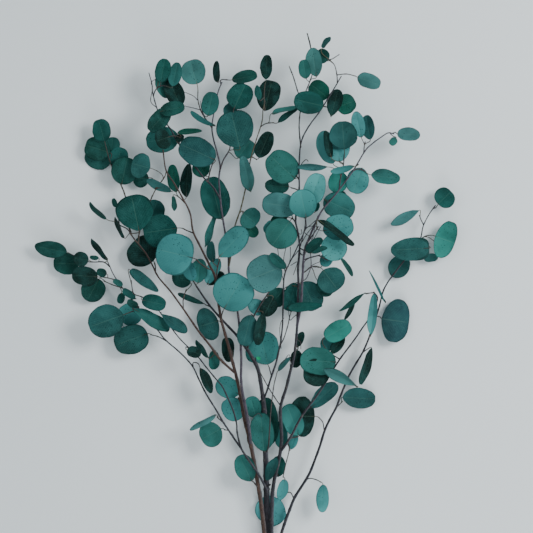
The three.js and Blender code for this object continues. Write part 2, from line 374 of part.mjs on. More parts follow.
      leaf(436, 236, 42, 456, 243, 41, 39, 5, 'fresh'),
      leaf(439, 257, 38, 425, 258, 36, 10, 30, 'steel')]),
    sprig([twig(0.8, 0.6, [424.5, 224.5, 42.1], [422, 220, 44], [420, 215, 45])], [
      leaf(420, 210, 46, 391, 224, 47, 11, 25, 'slate', 0.6)]),
    sprig([twig(0.7, 0.6, [434.5, 208, 43.4], [437, 207.5, 45])], [
      leaf(439, 204, 46, 452, 191, 47, 22, 4, 'deep')]),
  ], 'main'),
  limb('low_left', 'grey', twig(1.7, 0.6, [266.7, 499, 9.7], [266.5, 491, 15.5], [262, 481, 20.5],
    [258, 474, 22.5], [252, 465, 24], [245, 455, 25], [240, 447, 25.5], [235, 440, 26], [229, 431, 27],
    [223, 422, 28], [216, 410, 29], [206, 394, 30], [199, 380, 31], [192, 366, 32], [180, 353, 33],
    [165, 340, 34], [158, 331, 35], [149, 320, 36], [139, 309, 37], [129, 297, 38], [119, 284, 39],
    [112, 273, 39], [108, 264, 39], [103, 255, 38.5]), [
    sprig([twig(0.8, 0.6, [237, 443, 25.8], [230, 432, 24.5], [224, 430, 24])], [
      leaf(221, 429, 24, 201, 440, 22, 26, 5, 'mid')]),
    sprig([twig(0.8, 0.6, [223.5, 423, 27.9], [219, 419, 30], [217, 417, 30])], [
      leaf(216, 415, 33, 190, 430, 34, 9, 45, 'slate')]),
    sprig([twig(0.8, 0.6, [193, 368, 31.9], [193, 363, 34], [197, 363, 34.5], [199, 365, 34])], [
      leaf(200, 368, 33, 212, 393, 30, 12, 38, 'black')]),
    sprig([twig(0.8, 0.6, [167, 341.7, 33.9], [158, 337, 32], [150, 335, 31])], [
      leaf(147, 334, 31, 114, 346, 29, 30, 5, 'steel')]),
    sprig([twig(0.8, 0.6, [141, 311.3, 36.8], [134, 311, 40], [128, 313, 42])], [
      leaf(123, 315, 43, 89, 327, 44, 33, 5, 'steel'),
      leaf(133, 308.5, 44.5, 170, 330, 46, 16, 33, 'mid', 0.57)]),
    sprig([twig(0.8, 0.6, [137, 306.6, 37.2], [137, 308, 33.5], [135, 309, 32])], [
      leaf(137, 307, 31, 121, 322, 28, 24, 10, 'aqua')]),
    sprig([twig(0.8, 0.6, [136, 305.4, 37.3], [138, 307, 40], [139, 307, 41.5])], [
      leaf(138, 306, 43, 127, 301, 44, 10, 40, 'dark')]),
    sprig([twig(0.8, 0.6, [131, 299.4, 37.8], [134, 299, 40.5], [136, 299, 41])], [
      leaf(135, 298, 42, 123, 289, 43, 10, 40, 'mid')]),
    sprig([twig(0.8, 0.6, [122, 288, 38.7], [112, 285, 36], [103, 281, 35])], [
      leaf(98, 279, 34, 86, 301, 31, 24, 6, 'dark'),
      leaf(121, 293, 33, 119, 304, 31, 8, 15, 'deep')]),
    sprig([twig(0.8, 0.6, [116, 280, 39], [107, 278, 38], [101, 277, 38])], [
      leaf(97, 277, 41, 71, 275, 41.5, 20, 8, 'black'),
      leaf(106, 274, 41, 96, 271, 42, 9, 15, 'dark'),
      leaf(113, 280, 43, 122, 286, 44, 8, 40, 'mid')]),
    sprig([twig(0.9, 0.6, [109, 266.5, 39], [103, 262, 41], [94, 262, 42], [84, 261, 41], [74, 256, 41],
      [68, 253, 41])], [
      leaf(66, 252, 41, 33, 246, 42, 18, 20, 'dark', 0.45),
      leaf(78, 264, 36, 52, 263, 34, 22, 6, 'dark'),
      leaf(88, 260, 45, 73, 258, 46, 15, 6, 'black'),
      leaf(98, 258, 43, 89, 257, 44, 6, 40, 'dark'),
      leaf(107, 260, 44, 90, 239, 47, 12, 58, 'black')]),
  ], 'main'),
  limb('second_left', 'grey', twig(1.2, 0.6, [241.5, 449.5, 25.4], [239, 441, 29], [237, 431, 31],
    [236.5, 423, 31.5], [233, 410, 32.5], [227, 396, 34], [222, 386, 35], [216, 379, 36], [206, 367, 37],
    [199, 358, 38], [190, 349, 39], [180, 339, 40], [172, 329, 41], [166, 321, 41.5], [161, 314, 42],
    [155, 306, 42.5], [148, 300, 43]), [
    sprig([twig(0.8, 0.6, [189, 348, 39.1], [186, 347, 42], [186, 349, 43])], [
      leaf(187, 350, 43, 201, 354, 44, 12, 15, 'black')]),
    sprig([twig(0.8, 0.6, [163, 317, 41.8], [161, 313, 45], [161, 312, 46])], [
      leaf(161, 314, 46, 187, 333, 47, 14, 33, 'steel', 0.62)]),
    sprig([twig(0.8, 0.6, [150, 301.7, 42.9], [142, 297, 46], [134, 294, 47], [132, 288, 47.5],
      [131, 280, 48])], [
      leaf(130, 270, 49, 158, 292, 48, 12, 30, 'steel', 0.35),
      leaf(142, 300, 49, 166, 305, 50, 16, 8, 'deep')]),
  ], 'low_left'),
];

// The sag of the crown under its own weight, in squares, at a point of the plan.
function sagAt(across, down) {
  const run = Math.max(0, SAG_FROM - down) / SAG_LENGTH;
  const side = (across - AXIS_ACROSS) / SIDE_SAG_REACH;
  const sides = SIDE_SAG * (1 - Math.exp(-side * side)) * Math.min(1, run / SIDE_SAG_RUN);
  return CROWN_SAG * run ** SAG_POWER + sides;
}

// A point of the plan in millimetres.
function place([across, down, height]) {
  return new THREE.Vector3(across - CENTRE.across, CENTRE.down - down, height - sagAt(across, down))
    .multiplyScalar(SQUARE);
}

// A three.js geometry as a solid, with its shared corners joined.
function solidOf(geometry) {
  geometry.deleteAttribute('normal');
  geometry.deleteAttribute('uv');
  const merged = mergeVertices(geometry, MERGE_DISTANCE);
  return new wasm.Manifold(new wasm.Mesh({
    numProp: 3,
    vertProperties: new Float32Array(merged.attributes.position.array),
    triVerts: new Uint32Array(merged.index.array),
  }));
}

function geometryOf(solid) {
  const mesh = solid.getMesh();
  const geometry = new THREE.BufferGeometry();
  geometry.setAttribute('position', new THREE.BufferAttribute(new Float32Array(mesh.vertProperties), 3));
  geometry.setIndex(new THREE.BufferAttribute(new Uint32Array(mesh.triVerts), 1));
  return geometry;
}

// A smooth curve that reaches its points at even shares of its run, so that a stem's rings sit on them.
class StemCurve extends THREE.CatmullRomCurve3 {
  constructor(points) {
    super(points, false, 'catmullrom', CURVE_TENSION);
  }

  getPointAt(share, target) {
    return this.getPoint(share, target);
  }

  getTangentAt(share, target) {
    return this.getTangent(share, target);
  }
}

// A closed stem through its points, thinning from radius r0 to radius r1.
function stemSolid(points, r0, r1, sides) {
  const section = new THREE.Shape();
  for (let i = 0; i < sides; i += 1) {
    const turn = (2 * Math.PI * i) / sides;
    const corner = [r0 * Math.cos(turn), r0 * Math.sin(turn)];
    if (i === 0) section.moveTo(...corner);
    else section.lineTo(...corner);
  }
  section.closePath();
  const steps = points.length - 1;
  const geometry = new THREE.ExtrudeGeometry(section, { extrudePath: new StemCurve(points), steps });
  const corners = geometry.attributes.position;
  const corner = new THREE.Vector3();
  for (let i = 0; i < corners.count; i += 1) {
    corner.fromBufferAttribute(corners, i);
    let nearest = 0;
    points.forEach((point, k) => {
      if (point.distanceTo(corner) < points[nearest].distanceTo(corner)) nearest = k;
    });
    const radius = r0 + (r1 - r0) * (nearest / steps) ** TAPER_POWER;
    corner.sub(points[nearest]).multiplyScalar(radius / r0).add(points[nearest]);
    corners.setXYZ(i, corner.x, corner.y, corner.z);
  }
  return solidOf(geometry);
}

function twigSolid({ r0, r1, points }, sides, swell = 0) {
  return stemSolid(points.map(place), r0 + swell, r1 + swell, sides);
}

// The blade's own directions: along its midrib, across it and out of its upper face.
function bladeFrame({ base, tip, roll }) {
  const foot = place(base);
  const along = place(tip).sub(foot);
  const length = along.length();
  along.normalize();
  const up = new THREE.Vector3(0, 0, 1).addScaledVector(along, -along.z).normalize();
  const side = new THREE.Vector3().crossVectors(up, along);
  const turn = THREE.MathUtils.degToRad(roll);
  const face = up.clone().multiplyScalar(Math.cos(turn)).addScaledVector(side, Math.sin(turn));
  return { foot, along, across: new THREE.Vector3().crossVectors(face, along), face, length };
}

// A round blade: its outline runs from the base round the tip and back, and its sides are folded up.
function bladeSolid(blade) {
  const { foot, along, across, face, length } = bladeFrame(blade);
  const width = blade.width * SQUARE;
  const round = (Math.PI * (width + length)) / 2;
  const wanted = THREE.MathUtils.clamp(round / OUTLINE_STEP, OUTLINE_LEAST, OUTLINE_MOST);
  const rimPoints = 2 * Math.round(wanted / 2);
  const spread = Math.log(blade.belly) / Math.log(1 / 2);
  const rim = [];
  for (let i = 0; i < rimPoints; i += 1) {
    const turn = (2 * Math.PI * i) / rimPoints;
    const share = ((1 - Math.cos(turn)) / 2) ** spread;
    rim.push(new THREE.Vector2(length * share, (width * Math.sin(turn)) / 2));
  }
  const geometry = new THREE.ExtrudeGeometry(
    new THREE.Shape(rim), { depth: LEAF_THICKNESS, bevelEnabled: false, steps: 1 });
  geometry.translate(0, 0, -LEAF_THICKNESS / 2);
  const corners = geometry.attributes.position;
  for (let i = 0; i < corners.count; i += 1) {
    corners.setZ(i, corners.getZ(i) + LEAF_FOLD * Math.abs(corners.getY(i)));
  }
  geometry.applyMatrix4(new THREE.Matrix4().makeBasis(along, across, face).setPosition(foot));
  return solidOf(geometry);
}

// Where a leaf's stalk leaves its twig: the nearest place on the twigs, then some way back along it.
function stalkRoot(foot, twigs) {
  let best = { distance: Infinity };
  twigs.forEach(({ points }) => {
    const knots = points.map(place);
    for (let k = 1; k < knots.length; k += 1) {
      const stretch = new THREE.Line3(knots[k - 1], knots[k]);
      const share = stretch.closestPointToPointParameter(foot, true);
      const distance = stretch.at(share, new THREE.Vector3()).distanceTo(foot);
      if (distance < best.distance) best = { distance, stretch, share, first: k === 1 };
    }
  });
  const back = (STALK_SLIP * best.distance) / best.stretch.distance();
  return best.stretch.at(Math.max(best.first ? CLEAR_SHARE : 0, best.share - back), new THREE.Vector3());
}

// A leaf's stalk, straight from inside its twig to inside the blade.
function stalkSolid(blade, twigs) {
  const { foot, along } = bladeFrame(blade);
  const end = foot.clone().addScaledVector(along, STALK_END);
  return stemSolid([stalkRoot(foot, twigs), end], STALK_RADIUS, STALK_RADIUS, STALK_SIDES);
}

function sprigSolid({ twigs, leaves }) {
  return wasm.Manifold.union([
    ...twigs.map((wood) => twigSolid(wood, TWIG_SIDES)),
    ...leaves.flatMap((blade) => [bladeSolid(blade), stalkSolid(blade, twigs)]),
  ]);
}

// Takes the stretch that a side piece has inside its carrier away, with any sliver that is left behind.
function seat(solid, carrier) {
  const pieces = solid.subtract(carrier).decompose();
  return pieces.reduce((largest, piece) => (piece.volume() > largest.volume() ? piece : largest));
}

function meshOf(solid, name, color, roughness) {
  const mesh = new THREE.Mesh(
    geometryOf(solid), new THREE.MeshStandardMaterial({ color, roughness, metalness: 0 }));
  mesh.name = name;
  return mesh;
}

// A leaf that grows by itself from a limb is one piece with it, and a sprig of several is its own piece.
const branch = new THREE.Group();
const fattened = new Map(BRANCH.map(({ name, stem }) => [name, twigSolid(stem, LIMB_SIDES, GAP)]));
BRANCH.forEach(({ name, bark, stem, sprigs, from }) => {
  const lone = sprigs.filter(({ leaves }) => leaves.length === 1).map(sprigSolid);
  const wood = wasm.Manifold.union([twigSolid(stem, LIMB_SIDES), ...lone]);
  const body = from ? seat(wood, fattened.get(from)) : wood;
  branch.add(meshOf(body, `${name}_limb`, BARK[bark], BARK_ROUGHNESS));
  sprigs.filter(({ leaves }) => leaves.length > 1).forEach((plan, i) => {
    const seated = seat(sprigSolid(plan), fattened.get(name));
    branch.add(meshOf(seated, `${name}_sprig_${i + 1}`, TONES[plan.leaves[0].tone], LEAF_ROUGHNESS));
  });
});

// The origin sits below the middle of the branch, on the surface that it lies on.
const extent = new THREE.Box3().setFromObject(branch);
const middle = extent.getCenter(new THREE.Vector3());
branch.children.forEach(({ geometry }) => geometry.translate(-middle.x, -middle.y, -extent.min.z));

export default branch;
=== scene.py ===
"""A cut branch of preserved round-leaved eucalyptus, laid on a pale floor and seen from above.

Metres, +Z up. The branch lies along Y with its cut end at -Y and its crown at +Y.
"""

import math
import random

import bpy
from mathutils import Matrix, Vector, noise


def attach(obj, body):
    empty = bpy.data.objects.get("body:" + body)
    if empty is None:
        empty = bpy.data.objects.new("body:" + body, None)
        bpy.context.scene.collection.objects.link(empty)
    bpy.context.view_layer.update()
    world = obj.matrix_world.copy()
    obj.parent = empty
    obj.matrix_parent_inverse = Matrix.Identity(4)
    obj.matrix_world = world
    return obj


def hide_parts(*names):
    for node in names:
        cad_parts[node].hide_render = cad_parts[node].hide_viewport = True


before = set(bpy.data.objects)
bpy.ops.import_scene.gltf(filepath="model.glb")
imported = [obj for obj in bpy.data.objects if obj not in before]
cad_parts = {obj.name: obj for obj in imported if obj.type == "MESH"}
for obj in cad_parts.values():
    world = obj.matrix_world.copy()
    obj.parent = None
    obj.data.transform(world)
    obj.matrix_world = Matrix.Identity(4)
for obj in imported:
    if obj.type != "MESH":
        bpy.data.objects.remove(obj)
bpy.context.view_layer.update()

# The plan is the branch seen from above on squared paper: across counts squares to the right, down
# counts them towards the cut end, and height counts squares above the surface before the sag.
SQUARE = 0.0013
PLAN_SIDE = 533
CENTRE_ACROSS, CENTRE_DOWN = 246, 320
TO_FRAME = Vector((0.6983184814453125e-3, 0.0536651611328125e-3, 0.05899541825056076e-3))
CROWN_SAG = 44
SIDE_SAG = 8
SAG_FROM = 470
SAG_LENGTH = 400
SAG_POWER = 1.3
SIDE_SAG_REACH = 100
SIDE_SAG_RUN = 0.25
AXIS_ACROSS = 268
MILLIMETRE = 0.001
CENTIMETRES = 100

# Wood, in metres and per metre. A pair of values in brackets is for thin wood and for thick wood.
THICK_WOOD = 0.0013
STOUT_LIMB = 0.0016
CUT_LIMB = "main"
LIMB_SIDES, TWIG_SIDES, BARE_TWIG_SIDES, STALK_SIDES = (10, 14), 8, 7, 6
LIMB_STEP, TWIG_STEP, STALK_STEP = 0.0026, 0.002, 0.0015
TAPER_POWER = 0.8
END_BULGE = 0.7
RIDGE_DEPTH = (0.05, 0.09)
RIDGES_AROUND, RIDGES_ALONG = 2.2, 25
LUMP_DEPTH, LUMPS = 0.06, 160
KNOT_SPACING, KNOT_HEIGHT, KNOT_REACH = (0.013, 0.021), (0.42, 0.28), 0.0016
KNOT_WANDER, KNOT_LEAST, KNOT_SPAN = 0.35, 0.6, 0.5
STAIN_HEIGHT, STAIN_REACH, STAIN_GAIN, STAIN_DEPTH = 0.28, 0.0013, 2.4, 0.35
MOTTLES, MOTTLE_LOW, MOTTLE_SPAN = 55, 0.72, 0.55
TWIG_TINT, BARE_TWIG_TINT = 0.6, 0.3
FIRST_SEED, LIMB_SEED, WIDEST_SEED = 11, 0.37, 50

# Stalks: where they leave the twig, how they bend and how they end under the blade, each end point as
# (share of the blade's length, share of the depth, share of the radius).
STALK_ROOT_RADIUS = 0.00062
STALK_FOOT_RADIUS = 0.00048
STALK_LEAN = 0.5
STALK_BEND = 0.4
STALK_DEPTH = 0.4
STALK_ENDS = ((0.05, 0.6, 0.8), (0.16, 1, 0.4))

# Blades. The waves of the rim are (depth, how many along the blade, place in the noise).
BLADE_THICKNESS = 0.00052
RAGGED_RIM = ((0.075, 3.2, 4), (0.03, 11, 8), (0.01, 30, 2))
OTHER_FLANK = 9.0
ROUND_ONE = 0.3
NECK = 0.22
TIP_FROM, TIP, TIP_WIDTH = 0.8, 0.2, 0.3
BLADE_FOLD, FOLD_ROUNDING = 0.16, 0.12
CURL_FROM = 0.3
NEAR_FLOOR = 0.015
BLADE_LUMP_DEPTH, BLADE_LUMPS = 0.02, 70
GROOVE_WIDTH, GROOVE_ABOVE, GROOVE_UNDER, GROOVE_END = 0.0006, 0.00022, 0.00042, 6
RIM_THINNING, RIM_POWER = 0.55, 6
HALF_ACROSS = (0, 0.035, 0.1, 0.22, 0.38, 0.56, 0.74, 0.88, 0.965, 1)
ACROSS_SHARES = [-share for share in HALF_ACROSS[:0:-1]] + list(HALF_ACROSS)
STEPS_ALONG, END_CROWDING = 20, 0.9

# Colours are written as they look on a screen.
# Leaf tones are partly dye and partly painted light and shade: light for leaves facing the light, black for
# leaves in shadow.
TONES = {
    "black": "021613", "dark": "0c3833", "deep": "0c423e", "mid": "245b57", "teal": "32746f",
    "green": "01463a", "aqua": "397b7c", "light": "4d9596", "slate": "3a6a6a", "steel": "1e4848",
    "dusk": "1b3b42", "fresh": "25746b", "bud": "0f9a63",
}
BARKS = {"grey": "2c2e36", "red": "4c3a32", "olive": "504e3a", "purple": "4a4553"}
TWIG_TONES = ("332d2c", "40372f", "4b4b39", "2c2b29")
STALK_TONES = ("4f4738", "5c5b44", "463a33", "40503f")
CUT_WOOD = "b39d78"

VIEW_DISTANCE = 3.85
LEAF_LEVEL = 0.035
LENS = 200
SENSOR = 36
FLOOR_SIDE = 6
SKY, SKY_STRENGTH = (0.82, 0.87, 0.89, 1), 0.6


def twig(r0, r1, *numbers):
    points = [numbers[i:i + 3] for i in range(0, len(numbers), 3)]
    return {"r0": r0 * MILLIMETRE, "r1": r1 * MILLIMETRE, "points": points}


def leaf(x0, y0, z0, x1, y1, z1, width, roll, tone, belly=0.5):
    return {"base": (x0, y0, z0), "tip": (x1, y1, z1), "width": width * SQUARE, "roll": roll, "tone": tone,
            "belly": belly}


def sprig(twigs, *leaves):
    return {"twigs": [twig(*row) for row in twigs], "leaves": [leaf(*row) for row in leaves]}


def limb(name, bark, stem_row, *sprigs):
    return {"name": name, "bark": bark, "stem": twig(*stem_row), "sprigs": sprigs}


# Every limb: its name, its bark, its own wood and its sprigs, each of which is its twigs and then its
# leaves. Wood is written as first radius, last radius, then across, down and height of each point. A
# leaf is base across, down, height, tip across, down, height, width, roll about its midrib in degrees,
# tone, and the share of its length where it is widest if that isn't half. Radii are millimetres and
# the rest squares.
BRANCH = [
  limb("main", "grey", (5.6, 1.0, 268.5, 606, 4.05, 268, 585, 4.8, 267.5, 560, 6.2, 267.3, 540, 7.2,
    267, 515, 8.5, 266.6, 494, 10, 266, 465, 13, 264.5, 435, 16, 264.5, 412, 19, 262, 392, 22,
    258, 370, 25, 250, 354, 28, 245, 347, 30, 238, 337, 29.5, 222, 320, 30.5, 209, 305, 33, 196, 286, 37),
    sprig([(1.0, 0.8, 197, 287.5, 36.7, 192, 279, 39.5, 190, 272, 40.5)],
      (193, 281, 43, 187, 262, 46, 15, 30, "aqua"), (198, 283, 38, 200, 259, 37, 17, 15, "teal")),
    sprig([(0.8, 0.7, 211, 307.3, 32.6, 208, 306, 29.5, 205, 305, 29)],
      (204, 304, 29, 177, 293, 29.5, 9, 50, "dark")),
    sprig([(1.2, 0.8, 247, 350, 29.3, 249, 341, 33, 251, 328, 36, 254, 316, 38, 261, 304, 41,
      269, 292, 44, 275, 284, 45)], (251, 315, 42, 243, 346, 39, 20, 15, "steel"),
      (263, 313, 40, 257, 345, 37, 15, 40, "black"), (262, 301, 36, 252, 313, 33, 19, 10, "light"),
      (273, 298, 38, 264, 316, 35, 17, 10, "black")),
    sprig([(0.9, 0.8, 265, 424, 17.5, 262, 421, 15, 259, 418, 14.5)],
      (257, 419, 15.8, 250, 397, 17.6, 17, 20, "teal")),
    sprig([(1.0, 0.8, 265.5, 456, 14, 267, 453, 10.5, 268, 450, 10)],
      (268, 448, 11, 266, 398, 14, 24, 6, "dark")),
    sprig([(1.0, 0.6, 265.6, 455, 14, 268.5, 447, 20.5, 269.5, 432, 27, 270.5, 415, 29, 272, 400, 29.5,
      274, 385, 29.5, 277, 373, 29.5)], (278, 371, 30, 291, 357, 31, 8, 50, "slate"),
      (264, 452, 17.2, 260.5, 413, 21.4, 24, 4, "mid")),
    sprig([(0.9, 0.7, 259, 374.5, 24.4, 257, 369, 19.5, 256, 365, 17)],
      (255, 363, 16, 249, 347, 14, 13, 15, "teal"))),
  limb("left", "red", (3.3, 0.8, 267.4, 556, 6.4, 265.3, 545, 10, 264.2, 533, 12.5, 261.5, 508, 15,
    259, 491, 16, 252, 452, 19, 248.6, 436, 20.5, 244.5, 420, 22, 241, 400, 24, 238, 384, 26,
    233, 364, 29, 229, 348, 31, 225, 334, 33, 221, 319, 36, 218, 300, 40, 215, 277, 44, 210, 266, 46,
    205, 256, 48, 199, 244, 50, 193, 231, 53, 190, 213, 57, 182, 197, 60, 174, 183, 62, 166, 170, 64,
    163, 150, 66),
    sprig([(1.0, 0.7, 259, 491, 16, 257, 487, 18, 253, 482, 18.5)],
      (252, 482, 18.5, 239, 456, 20, 21, 6, "mid", 0.57)),
    sprig([(1.0, 0.8, 242.3, 407, 23.2, 240, 402, 21, 238, 398, 20)],
      (239, 395, 20, 217, 381, 21, 22, 8, "aqua"), (243, 404, 19, 223, 415, 17, 25, 6, "aqua")),
    sprig([(0.9, 0.7, 231, 356, 30, 229, 349, 27, 227, 342, 25)],
      (226, 338, 25, 229, 363, 21, 14, 22, "black", 0.4)),
    sprig([(0.9, 0.7, 223, 327, 34.5, 221, 323, 32, 220, 322, 30)],
      (218, 321, 30, 198, 327, 27, 34, 5, "steel")),
    sprig([(0.9, 0.7, 221.5, 321, 35.6, 221.5, 316, 39, 223, 311, 43)],
      (224, 309, 45, 243, 276, 50, 41, 4, "aqua")),
    sprig([(0.9, 0.7, 216, 284, 42.8, 216.5, 277, 47.5, 217.5, 268, 51, 220, 259, 54)],
      (219, 257, 56, 246, 229, 59, 24, 8, "aqua", 0.56), (213, 262, 52, 210, 241, 53, 12, 40, "steel")),
    sprig([(0.9, 0.7, 215.4, 280, 43.4, 213, 280, 40, 210, 282, 38)],
      (207, 284, 39, 218, 258, 39, 15, 25, "light"), (209, 285, 36, 223, 272, 34, 14, 50, "black")),
    sprig([(0.9, 0.7, 212, 270, 45.3, 207, 268, 49.5, 200, 263, 53, 196, 259, 55)],
      (193, 258, 56, 157, 249, 58, 43, 4, "aqua")),
    sprig([(0.9, 0.7, 193.5, 233, 52.5, 188, 231, 50, 182, 228, 49)],
      (177, 228, 49, 143, 233, 47, 34, 5, "deep")),
    sprig([(0.9, 0.7, 185, 203, 59.3, 182, 200, 56, 179, 197, 55)],
      (176, 192, 55, 171, 164, 53, 14, 25, "green"), (186, 197, 52, 187, 163, 49, 15, 35, "black"),
      (173, 196, 57, 174, 211, 55, 10, 60, "dark"))),
  limb("left_fork", "red", (1.8, 0.7, 235.3, 373, 27.7, 228, 367, 29.5, 219, 358, 32, 211, 347, 34,
    199, 332, 36, 190, 319, 38, 181, 306, 40, 170, 291, 41, 158, 277, 42, 152, 265, 44, 146, 254, 45,
    139, 245, 46, 133, 238, 46.5, 130, 231, 47),
    sprig([(0.9, 0.7, 216, 354, 32.8, 215, 351, 29.5, 213, 350, 28)],
      (213, 351, 27, 214, 370, 24, 14, 35, "deep"), (208, 358, 32, 196, 340, 34, 10, 55, "dark")),
    sprig([(0.8, 0.6, 183.3, 309.4, 39.5, 183, 300, 37, 186, 289, 34.5)],
      (190, 283, 33.5, 172, 274, 31.5, 18, 18, "dark")),
    sprig([(0.9, 0.7, 155, 271, 43, 155, 267, 40, 154, 263, 39)],
      (153, 261, 39, 132, 242, 36, 34, 5, "black")),
    sprig([(0.9, 0.7, 134, 239, 46.5, 131, 235, 50, 127, 229, 51, 119, 225, 51), (0.8, 0.6, 119, 225, 51,
      118, 216, 52, 117, 208, 53)], (139, 231, 53, 131, 195, 55, 38, 4, "deep", 0.57),
      (106, 219, 52, 88, 203, 54, 14, 66, "dark"), (124, 238, 53, 114, 217, 54, 12, 66, "black"),
      (116, 207, 54, 113, 198, 55, 7, 40, "dark")),
    sprig([(1.1, 0.7, 130.6, 233, 46.8, 126, 219, 46, 126, 205, 46, 124, 194, 46, 119, 182, 46.5,
      113, 170, 47.5, 108, 159, 49)], (104, 141, 58, 98, 119, 59.5, 19, 8, "deep"),
      (109, 152, 49.5, 84, 144, 50.5, 24, 8, "dark"), (110, 161, 42.8, 83, 154, 40.5, 22, 11, "mid"),
      (110, 154, 45, 112, 136, 43.5, 16, 8, "mid"), (115, 166, 48.5, 121, 147, 49, 20, 8, "deep"),
      (121, 184, 51, 127, 157, 53.5, 27, 5, "dark")),
    sprig([(1.0, 0.6, 138, 243.5, 46.2, 139, 232, 43, 145, 215, 44, 150, 200, 47, 156, 188, 49,
      164, 177, 51, 166, 171, 52)], (150, 168, 58, 131, 163, 59, 26, 6, "steel"),
      (148, 177, 46, 132, 179, 44, 18, 15, "dark"), (171, 191, 50.5, 146, 179, 52, 13, 48, "slate"),
      (148, 224, 41, 157, 200, 39, 24, 10, "mid"))),
  limb("grey", "purple", (2.1, 0.7, 250.6, 445, 19.7, 250, 437, 24, 248.6, 425, 26.5, 245.6, 408, 28.5,
    242.5, 392, 31, 241, 378, 33, 241.3, 364, 34.5, 241, 350, 36, 239.5, 330, 37.5, 237.5, 311, 40,
    233, 290, 43, 229, 273, 45, 228, 251, 48, 224, 226, 52, 221, 205, 55, 219, 180, 58, 220, 166, 60,
    217, 152, 61, 213, 137, 63, 212, 125, 64, 215, 107, 66, 218, 92, 68, 222, 82, 69),
    sprig([(0.9, 0.7, 223.5, 222, 52.5, 222, 216, 49.5, 221.5, 214, 49)],
      (221, 219, 49, 210, 177, 51, 29, 8, "deep"), (216, 210, 46.2, 204, 247, 45, 10, 50, "mid")),
    sprig([(1.0, 0.6, 219.6, 172, 59.2, 223, 161, 62, 230, 148, 65, 227, 136, 66, 228, 123, 67,
      234, 112, 69)], (240, 148, 69, 231, 111, 71, 38, 4, "steel", 0.55),
      (238, 158, 60, 251, 140, 57, 22, 8, "mid"), (234, 109, 73, 246, 84, 75, 25, 6, "deep"),
      (226, 117, 66, 234, 103, 64, 13, 10, "steel")),
    sprig([(0.9, 0.6, 212.2, 128, 63.7, 207, 121, 67, 201, 111, 70, 198, 100, 72, 198, 91, 73)],
      (197, 84, 74, 190, 60, 76, 25, 5, "slate"), (208, 116, 71, 213, 92, 73, 18, 12, "mid"),
      (215, 126, 71, 190, 113, 72, 11, 62, "aqua")),
    sprig([(0.8, 0.6, 221, 85, 68.8, 221, 80, 72, 228, 80, 73)],
      (232, 80, 73, 257, 75, 75, 16, 35, "dark"), (217.5, 82.5, 74, 216.5, 61, 76, 12, 50, "black"))),
  limb("tall_left", "grey", (1.2, 0.6, 220.3, 199, 55.8, 213, 187, 59, 204, 178, 62, 197, 169, 64,
    190, 160, 66, 177, 141, 70, 171, 130, 72, 163, 119, 74, 158, 111, 75, 153, 94, 77, 152, 84, 78,
    149, 73, 79),
    sprig([(0.9, 0.7, 208, 182, 60.7, 210, 172, 64, 213, 163, 67)],
      (215, 160, 68, 180, 144, 70, 29, 4, "steel", 0.47), (206, 176, 58, 197, 160, 55, 19, 10, "green")),
    sprig([(0.9, 0.6, 179, 144, 69.4, 181, 138, 72, 181, 134, 74)],
      (178, 133, 75, 202, 131, 77, 12, 58, "green"), (170, 137, 76, 156, 142, 77, 21, 12, "black"),
      (179, 137, 66, 146, 142, 64, 26, 6, "mid"), (177, 142, 73, 183, 135, 71.5, 8, 20, "black")),
    sprig([(0.9, 0.6, 160, 114, 74.6, 162, 108, 77, 168, 108, 79)],
      (160, 112, 81, 185, 107, 82, 16, 20, "dark"), (170, 109, 78, 150, 131, 79, 18, 12, "dark"),
      (181, 107, 77.5, 169, 80, 76.5, 19, 4, "black")),
    sprig([(0.8, 0.6, 153.4, 96, 76.8, 156, 90, 79, 162, 86, 80, 169, 87, 80)],
      (161, 83, 81, 165, 59, 83, 16, 10, "deep"), (159, 72, 73.5, 168, 98, 73.6, 16, 6, "mid"),
      (173, 87, 82, 178, 63, 84, 14, 15, "mid"))),
  limb("olive", "olive", (1.2, 0.6, 228.7, 266, 46, 230.5, 257, 49, 232, 243, 51, 235, 226, 54,
    241, 208, 57, 247, 182, 61, 249, 170, 63, 251, 158, 65, 257, 138, 68, 262, 122, 70, 263, 111, 72,
    265, 101, 73),
    sprig([(0.9, 0.6, 239.5, 213, 56.3, 242, 211, 53, 244, 212, 52)],
      (243, 213, 52, 257, 224, 50, 23, 10, "mid"), (247, 226, 50, 257, 236, 47, 13, 12, "green")),
    sprig([(0.8, 0.6, 246, 187, 60.3, 248, 187, 63, 250, 189, 65)],
      (251, 192, 65, 243, 156, 66, 16, 35, "slate")),
    sprig([(0.9, 0.6, 251.4, 157, 65.2, 254, 158, 62, 257, 160, 61)],
      (259, 158, 61, 270, 131, 59, 17, 15, "black", 0.43)),
    sprig([(0.8, 0.6, 260.5, 127, 69.3, 266, 124, 72, 274, 123, 73)],
      (278, 123, 73, 297, 109, 75, 12, 60, "deep"), (272, 114, 75, 296, 107, 76, 12, 60, "teal")),
    sprig([(0.9, 0.6, 264.5, 104, 72.7, 264, 95, 76, 265, 84, 78)],
      (266, 80, 79, 267, 55, 81, 13, 20, "black"), (265, 111, 69, 272, 80, 67, 23, 6, "black", 0.58),
      (260, 101, 79, 257, 86, 81, 9, 45, "mid"))),
  limb("right", "grey", (3.0, 0.7, 267.8, 571, 5.7, 270.4, 556, 9.3, 271.6, 540, 12, 271.5, 520, 13.5,
    272, 505, 14, 272.5, 494, 14.5, 274.5, 480, 15.5, 277.5, 467, 17, 280, 455, 19, 281.7, 440, 21,
    281, 425, 23, 280.5, 409, 25, 283, 398, 27, 286, 389, 28, 290, 373, 31, 294, 357, 34, 296, 340, 37,
    297.5, 320, 40, 298, 300, 44, 298.5, 285, 47, 298, 270, 50, 299, 256, 53, 299.5, 245, 56,
    297.5, 231, 60, 295.5, 221, 63, 297, 205, 66, 299, 190, 69, 299, 165, 73, 301, 143, 77, 308, 128, 79,
    319, 113, 81, 326, 102, 83, 334, 89, 85, 341, 77, 87),
